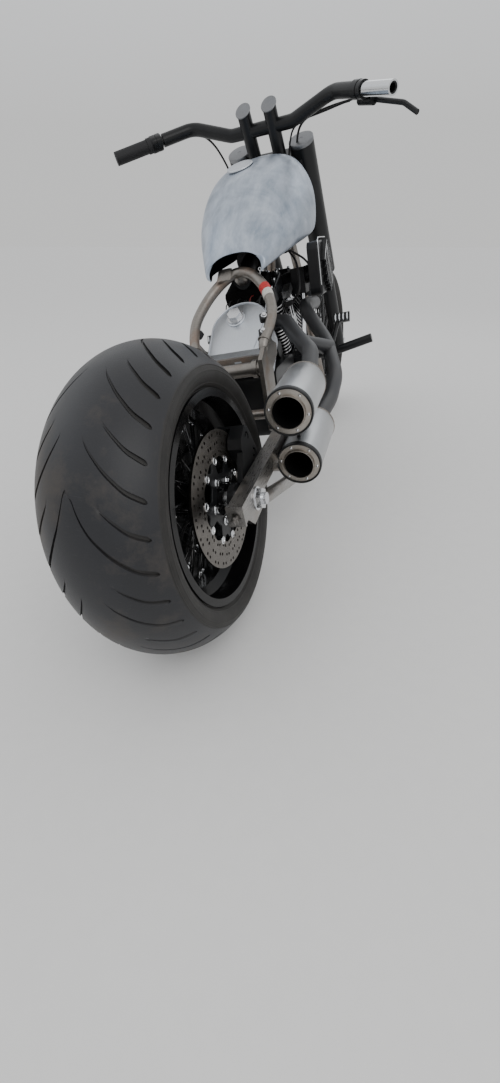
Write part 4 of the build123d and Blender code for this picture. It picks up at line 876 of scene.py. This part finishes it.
# Fork tops, risers and controls, all on the steered fork; drops run down the legs from their tops
forkTrim = {"capDrop": -0.0003, "clipDrop": 0.172, "riserDrop": -0.137, "riserX": 0.0465,
            "slant": (0, -0.75, 0.1)}
capProfile = [(0.0, 0.0405), (0.0, 0.0425), (0.0012, 0.0432), (0.0118, 0.0432), (0.0131, 0.0424), (0.0134, 0.040),
              (0.0134, 0.008), (0.0126, 0.0072)]
clipProfile = [(0, 0.0425), (0, 0.0446), (0.001, 0.0452), (0.011, 0.0452), (0.012, 0.0446), (0.012, 0.0425)]
riserProfile = [(0, 0.0265), (0.0022, 0.0265), (0.0032, 0.0255), (0.0034, 0.012), (0.0028, 0.0105)]


def makeForkTops():
    legX, riserX, up = forkLine["legX"], forkTrim["riserX"], -forkDown
    caps = [placeAt(onLeg(forkTrim["capDrop"], x), up, steered) for x in (-legX, legX)]
    loftSet("forkCaps", caps, capProfile, 56, capAlloy, "fork")
    clip = placeAt(onLeg(forkTrim["clipDrop"], -legX), up, steered)
    loftSet("cableClip", [clip], clipProfile, 56, "black_satin", "fork")
    slantWay = (up + Vector(forkTrim["slant"])).normalized()      # the risers' ends are cut on a slant
    tops = [placeAt(onStem(forkTrim["riserDrop"], x=x), slantWay, steered) for x in (-riserX, riserX)]
    loftSet("riserTops", tops, riserProfile, 40, capAlloy, "fork")


makeForkTops()
gripForm = {"start": -0.003, "long": 0.121, "radius": 0.0189, "rib": 0.0011, "ribs": 15, "fade": 0.06,
            "endRadii": (0.0128, 0.0165, 0.018, 0.0187)}


# Grip: radius along the bar is the sleeve's plus a train of low rounded ribs
def makeGrip():
    share = np.linspace(0, 1, 181)
    ribs = gripForm["rib"] * np.clip(np.sin(share * np.pi * 2 * gripForm["ribs"]), 0, 1) ** 0.6
    radius = gripForm["radius"] + ribs * np.clip(np.minimum(share, 1 - share) / gripForm["fade"], 0, 1)
    radius[:4] = gripForm["endRadii"]
    line = [onLeftBar(gripForm["start"] + gripForm["long"] * s) for s in share]
    sweepPiece("gripRibs", line, radius, "grip_rubber", "fork", steered, 28, sharp=50)


makeGrip()
# Switch housing: rows of distance from the bar's end and half width
housing = [(0.131, 0.0213), (0.1335, 0.0222), (0.149, 0.0222), (0.1495, 0.0208), (0.151, 0.0208),
           (0.1515, 0.0222), (0.166, 0.0222), (0.169, 0.0212)]
sweepPiece("switchHousing", [onLeftBar(row[0]) for row in housing], [row[1] for row in housing],
           "black_satin", "fork", steered, boxOutline(1.0, 1.0, 3.2))
print("bars are dressed")


# Tape: matt film with faint creases across it
def tapeFinish(name, colour):
    material, shader, place = startFinish(name, {"Roughness": 0.45})
    crease = noise(place, 240, 3, 0.6, stretch=(1, 0.3, 1))
    feed(shader, "Base Color", ramp(crease, [(0.35, tint(colour, 0.75)), (0.6, colour)]))
    bump(shader, crease, 0.0006, 0.6)
    return material


# Seat hoop: one smooth arch in place of the solid's angular one, its ends crimped onto the uprights, with the
# bracket plate, two bands of tape and a bridge to the backbone
hoopHalf = [(0.1045, 0.484, 0.530), (0.105, 0.498, 0.552), (0.116, 0.538, 0.588), (0.117, 0.582, 0.624),
            (0.098, 0.628, 0.662), (0.070, 0.664, 0.693), (0.036, 0.692, 0.716)]
hoopForm = {"radius": 0.015, "middle": (0.0, 0.702, 0.724), "plateTop": (-0.036, 0.676, 0.7315),
            "plateWay": (0, 0.77, 0.64), "bridge": [(0, 0.700, 0.722), (0, 0.712, 0.708), (0, 0.735, 0.7085)],
            "bridgeRadius": 0.019, "eye": (0.071, 0.682, 0.7225), "eyeReach": 0.004, "eyeWire": 0.0013,
            "shank": [(0.0705, 0.682, 0.7185), (0.069, 0.6815, 0.705), (0.0672, 0.681, 0.690)],
            "shankWire": 0.0014}
# Where the bands lie on the arch, in metres along it from its right end, and how far they stand off it
tapes = {"redTape": (0.205, 0.229, tapeFinish("redTapeFilm", (0.5, 0.012, 0.01)), 0.0009),
         "whiteTape": (0.181, 0.205, tapeFinish("whiteTapeFilm", (0.62, 0.6, 0.55)), 0.0006)}


def makeHoop():
    whole = hoopHalf + [hoopForm["middle"]] + [(-x, y, z) for x, y, z in reversed(hoopHalf)]
    line = smoothLine(whole, 10)
    share = np.linspace(0, 1, len(line))
    radius = np.interp(np.minimum(share, 1 - share), (0, 0.03, 0.075), (0.006, 0.013, hoopForm["radius"]))
    hoop = sweepPiece("seatHoop", line, radius, ownFinish["seat_hoop"], outline=24)
    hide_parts("seat_hoop")
    run = np.concatenate([[0], np.cumsum(np.linalg.norm(np.diff(line, axis=0), axis=1))])
    for name, (low, high, finish, lift) in tapes.items():
        spots = np.linspace(low, high, 9)
        path = np.stack([np.interp(spots, run, line[:, axis]) for axis in range(3)], axis=-1)
        waver = hoopForm["radius"] + lift + 0.0004 * np.sin(np.arange(9) * 2.1)
        sweepPiece(name, path, waver, finish, outline=28)
    slope = Vector(hoopForm["plateWay"])
    loftSet("hoopPlate", [placeAt(Vector(hoopForm["plateTop"]) - slope * 0.03, slope)],
            [(0, 0.94), (0.001, 1.0), (0.043, 1.0), (0.044, 0.94)], boxOutline(0.022, 0.0022, 9.0, 36),
            "raw_steel", sharp=25)
    sweepPiece("hoopBridge", smoothLine(hoopForm["bridge"], 6), hoopForm["bridgeRadius"], ownFinish["seat_hoop"],
               outline=24)
    ends = [((side * 0.105, 0.502, 0.556), (side * 0.15, 0.7, 0.6), 0.0155) for side in (-1, 1)]
    addBeads("hoopWelds", ends, "raw_steel", 0.002)
    eye = np.array([(x, 0, z) for x, z in ringSpots(24, 0, hoopForm["eyeReach"])]) + np.array(hoopForm["eye"])
    sweepPiece("eyeBoltRing", eye, hoopForm["eyeWire"], "chrome", outline=8, closed=True)
    sweepPiece("eyeBoltShank", hoopForm["shank"], hoopForm["shankWire"], "chrome", outline=10)


makeHoop()

# Oil tank: rolled bead along the arch's edge, a flange under the filler, a seam and three mounts with a bolt each
oilForm = {"half": 0.0865, "straight": 0.096, "bead": 0.0024, "filler": (-0.014, 0.126, 0.0003), "seamX": 0.058,
           "seamWave": 0.02, "seam": 0.0011}
oilMounts = [((-0.1095, 0.566, 0.584), (-0.2, -0.5, 0.8)), ((0.0985, 0.556, 0.600), (0.2, -0.5, 0.8)),
             ((0.1005, 0.520, 0.566), (0.2, -0.5, 0.8))]      # point and way


def makeOilDetail():
    plane, alloy = tilted((0, 0.540, 0.533), 37.5), "oil_alloy"
    half, arc = oilForm["half"], np.linspace(0, np.pi, 41)
    curve = np.stack([half * np.cos(arc), oilForm["straight"] + half * np.sin(arc)], axis=1)
    arch = np.concatenate([[(half, 0.004), (half, 0.05)], curve, [(-half, 0.05), (-half, 0.004)]])
    line = np.concatenate([arch, np.full((len(arch), 1), 0.0006)], axis=1)
    sweepPiece("oilTankBead", line, oilForm["bead"], alloy, place=plane, outline=10)
    flange = [(0.0, 0.030), (0.0022, 0.030), (0.0032, 0.0285), (0.0032, 0.0255)]
    loftSet("oilFillerFlange", [plane @ Matrix.Translation(oilForm["filler"])], flange, 40, alloy)
    y = np.linspace(0.0, 0.16, 30)
    x = oilForm["seamX"] + oilForm["seamWave"] * np.sin(y * 12)      # the seam is a sine of its height
    seam = np.stack([x, y * 0.98 + 0.004, np.full(30, 0.0004)], axis=1)
    sweepPiece("oilTankSeam", seam, oilForm["seam"], alloy, place=plane, outline=8)
    padProfile = [(0, 0.86), (0.002, 1.0), (0.014, 1.0), (0.0165, 0.84)]
    loftSet("oilMountPads", [placeAt(*row) for row in oilMounts], padProfile, boxOutline(0.013, 0.012, 5.0, 28),
            "grip_rubber")
    bolts = [(Vector(point) + Vector(way).normalized() * 0.0165, way, 0.0062) for point, way in oilMounts]
    addBolts("oilMountBolts", bolts, "chrome")


makeOilDetail()
print("hoop and oil tank are dressed")

# Engine: bolts on the rocker boxes, tappets and primary case, pushrod cups, plug boots and leads, and the coil.
# Heights run along each cylinder from the crank.
engineForm = {"headTop": 0.304, "rockerTall": 0.046, "rockerBolt": 0.0062, "tappetX": 0.1085, "tappetBolt": 0.005,
              "pushrodX": 0.095, "pushrodLow": 0.116, "plug": (0.082, 0.02, 0.270), "plugWay": (0.92, 0.3, 0.25),
              "lead": 0.0036, "leadEnd": (0.072, 1.075, 0.757), "coil": (0.052, 1.040, 0.768),
              "coilBracket": (0.012, 1.055, 0.772), "coilWay": (0, 1, 0.39), "primaryX": -0.2178,
              "primaryBolt": 0.0048}
# Rings of bolts on the primary case: y and z of the middle, reach and count
primaryRings = [(0.705, 0.340, 0.050, 6), (1.010, 0.360, 0.033, 5)]
cupProfile = [(0, 0.0105), (0.009, 0.0105), (0.011, 0.0095), (0.011, 0.0074)]
bootProfile = [(0, 0.0085), (0.004, 0.0092), (0.02, 0.0088), (0.032, 0.0062), (0.036, 0.0046)]


def dressCylinder(name, side):
    bright, rubber, top = "chrome", "grip_rubber", engineForm["headTop"]
    base = tilted(layout["crank"], -side * layout["cylinderTilt"])
    spots = [(x, y) for x in (-0.058, 0.058) for y in (-0.05, 0.0, 0.05)]
    spots += [(x, y) for x in (-0.0203, 0.0203) for y in (-0.05, 0.05)]
    rows = [((*spot, top + engineForm["rockerTall"]), (0, 0, 1), engineForm["rockerBolt"]) for spot in spots]
    addBolts(name + "RockerBolts", rows, bright, base=base, profile=socketProfile)
    rows = [((engineForm["tappetX"], y, z), (1, 0, 0), engineForm["tappetBolt"])
            for y in (-0.019, 0.019) for z in (0.093, 0.109)]
    addBolts(name + "TappetBolts", rows, bright, base=base, profile=socketProfile)
    cups = [base @ Matrix.Translation((engineForm["pushrodX"], y, z))
            for z in (engineForm["pushrodLow"], top - 0.026) for y in (-0.013, 0.013)]
    loftSet(name + "PushrodCups", cups, cupProfile, 20, bright)
    plugX, plugY, plugZ = engineForm["plug"]
    plug = parked.inverted() @ base @ Vector((plugX, side * plugY, plugZ))
    way = Vector(engineForm["plugWay"]) * Vector((1, side, 1))
    loftSet(name + "PlugBoot", [placeAt(plug, way)], bootProfile, 16, rubber)
    tip = plug + way.normalized() * 0.034
    bend = tip + Vector((0.03, side * 0.02, 0.035))
    end = Vector(engineForm["leadEnd"]) + Vector((0, side * 0.012, 0))
    middle = (bend + end) / 2 + Vector((0.012, 0, 0.012))
    sweepPiece(name + "PlugLead", smoothLine([tip, bend, middle, end], 8), engineForm["lead"], rubber, outline=10)


def makeEngineDetail():
    dressCylinder("rear", -1)
    dressCylinder("front", 1)
    way = engineForm["coilWay"]
    loftSet("ignitionCoil", [placeAt(engineForm["coil"], way)], [(0, 0.9), (0.003, 1), (0.077, 1), (0.08, 0.9)],
            boxOutline(0.026, 0.021, 5.0), "black_satin", sharp=25)
    loftSet("coilBracket", [placeAt(engineForm["coilBracket"], way)], [(0, 1), (0.05, 1)],
            boxOutline(0.03, 0.004, 9.0), "raw_steel", sharp=25)
    rows = [((engineForm["primaryX"], y + ringY, z + ringZ), (-1, 0, 0), engineForm["primaryBolt"])
            for y, z, radius, count in primaryRings
            for ringY, ringZ in ringSpots(count, 90 / count, radius)]
    addBolts("primaryBolts", rows, "chrome", profile=socketProfile)


makeEngineDetail()
cleanerForm = {"middle": (0.2209, 0.988, 0.687), "tilt": 38, "step": 0.020, "shrink": 0.1, "trim": 0.0017,
               "edge": [(0.2045, 0.904, 0.640), (0.2045, 0.904, 0.752), (0.2045, 0.912, 0.766),
                        (0.2045, 0.930, 0.7715), (0.2045, 1.046, 0.7715)]}
pedalForm = {"x": 0.248, "y": 1.0, "z": 0.521, "tilt": -25, "step": 0.0135, "out": -0.0095}


# Bright bars: on the crests of the air cleaner's fins, round its edge, and on the pedal pads
def makeBars():
    bars = [tilted(cleanerForm["middle"], cleanerForm["tilt"])
            @ Matrix.Translation((0, 0, index * cleanerForm["step"]))
            @ Matrix.Scale(1 - cleanerForm["shrink"] * abs(index), 4, (0, 1, 0))
            @ Matrix.Rotation(math.pi / 2, 4, "Y") for index in range(-3, 4)]
    loftSet("airCleanerBars", bars, [(0, 0.97), (0.0006, 1.0), (0.0013, 0.97)],
            boxOutline(0.0024, 0.064, 8.0, 24), "chrome", sharp=25)
    sweepPiece("airCleanerTrim", smoothLine(cleanerForm["edge"], 6), cleanerForm["trim"], "chrome", outline=8)
    ribs = [tilted((side * pedalForm["x"], pedalForm["y"], pedalForm["z"]), pedalForm["tilt"])
            @ Matrix.Translation(((index - 1.5) * pedalForm["step"], pedalForm["out"], 0))
            @ Matrix.Rotation(math.pi / 2, 4, "X") for side in (-1, 1) for index in range(4)]
    loftSet("pedalRibs", ribs, [(0, 1.0), (0.0022, 1.0), (0.0032, 0.7)], boxOutline(0.0026, 0.0145, 6.0, 20),
            "chrome", sharp=25)


# Wiring under the tank: a tray on the backbone's underside and wires that loop from it down behind the filler
wiring = {"tray": (-0.012, 0.742, 0.652), "wires": 9, "firstX": -0.062, "stepX": 0.014, "red": (2, 6),
          "radius": 0.0017, "spread": 0.0005}


def makeWiring():
    loftSet("wiringTray", [placeAt(wiring["tray"], (0, 1, 0.35))],
            [(0, 0.94), (0.003, 1.0), (0.117, 1.0), (0.12, 0.94)], boxOutline(0.062, 0.026, 6.0, 36), sootAndShadeBlack,
            sharp=25)
    redWire = paintFinish("wireRed", (0.16, 0.01, 0.008), 0.5)
    for index in range(wiring["wires"]):
        swing = math.sin(index * 2.4)
        x = wiring["firstX"] + index * wiring["stepX"]
        route = [(x, 0.752, 0.650 + 0.006 * swing), (x - 0.006, 0.722, 0.643 + 0.01 * swing),
                 (x - 0.012 * swing, 0.700, 0.616), (x * 0.9, 0.712 + 0.008 * swing, 0.583),
                 (x * 0.8, 0.742, 0.560)]
        finish = redWire if index in wiring["red"] else "grip_rubber"
        radius = wiring["radius"] + wiring["spread"] * (index % 3)
        sweepPiece("wire%d" % index, smoothLine(route, 8), radius, finish, outline=8)


makeBars()
makeWiring()
print("engine is dressed")

# Floor, sky and lamps: place, aimed point, width and height, power, colour
studio = {"floorColour": (0.79, 0.785, 0.775), "floorHalf": 30.0, "sky": 1.0}
lamps = {"keyLamp": ((1.8, -2.6, 3.2), (0, -0.3, 0.5), (2.4, 2.4), 30.0, (1.0, 0.985, 0.96)),
         "fillLamp": ((-3.0, -1.0, 2.6), (0, 0, 0.5), (2.6, 2.6), 8.0, (0.9, 0.95, 1.0)),
         "rimLamp": ((0.6, 3.4, 3.0), (0, 0.3, 0.6), (2.6, 1.6), 10.4, (0.95, 0.98, 1.0))}


def addLamp(name, at, towards, size, power, colour):
    data = bpy.data.lights.new(name, "AREA")
    data.shape = "RECTANGLE"
    data.size, data.size_y = size
    data.energy = power
    data.color = colour
    lamp = addObject(name, data)
    lamp.location = at
    lamp.rotation_euler = (Vector(at) - Vector(towards)).to_track_quat("Z", "Y").to_euler()


def makeStudio():
    side = studio["floorHalf"]
    floor = bpy.data.meshes.new("floor")
    corners = [(-side, -side, 0), (side, -side, 0), (side, side, 0), (-side, side, 0)]
    floor.from_pydata(corners, [], [(0, 1, 2, 3)])
    material, shader, place = startFinish("floorPlain", {"Roughness": 0.95, "Specular IOR Level": 0.1})
    grain = noise(place, 30, 4, 0.5)
    colour = studio["floorColour"]
    feed(shader, "Base Color", ramp(grain, [(0.3, tint(colour, 0.98)), (0.7, colour)]))
    floor.materials.append(material)
    addObject("floor", floor)
    # The sky is as pale as the floor near the horizon and brighter overhead, by its height alone
    world = bpy.data.worlds.new("studio")
    bpy.context.scene.world = world
    world.use_nodes = True
    tree = world.node_tree
    height = addNode(tree, "SeparateXYZ", {0: addNode(tree, "TexCoord").outputs["Generated"]}).outputs["Z"]
    shade = ramp(height, [(0.0, (0.735, 0.735, 0.73)), (0.14, (0.735, 0.737, 0.735)), (0.42, (0.95, 0.97, 1.0)),
                          (1.0, (1.0, 1.0, 1.0))])
    backdrop = tree.nodes["Background"]
    feed(backdrop, "Color", shade)
    backdrop.inputs["Strength"].default_value = studio["sky"]
    for name, row in lamps.items():
        addLamp(name, *row)


makeStudio()
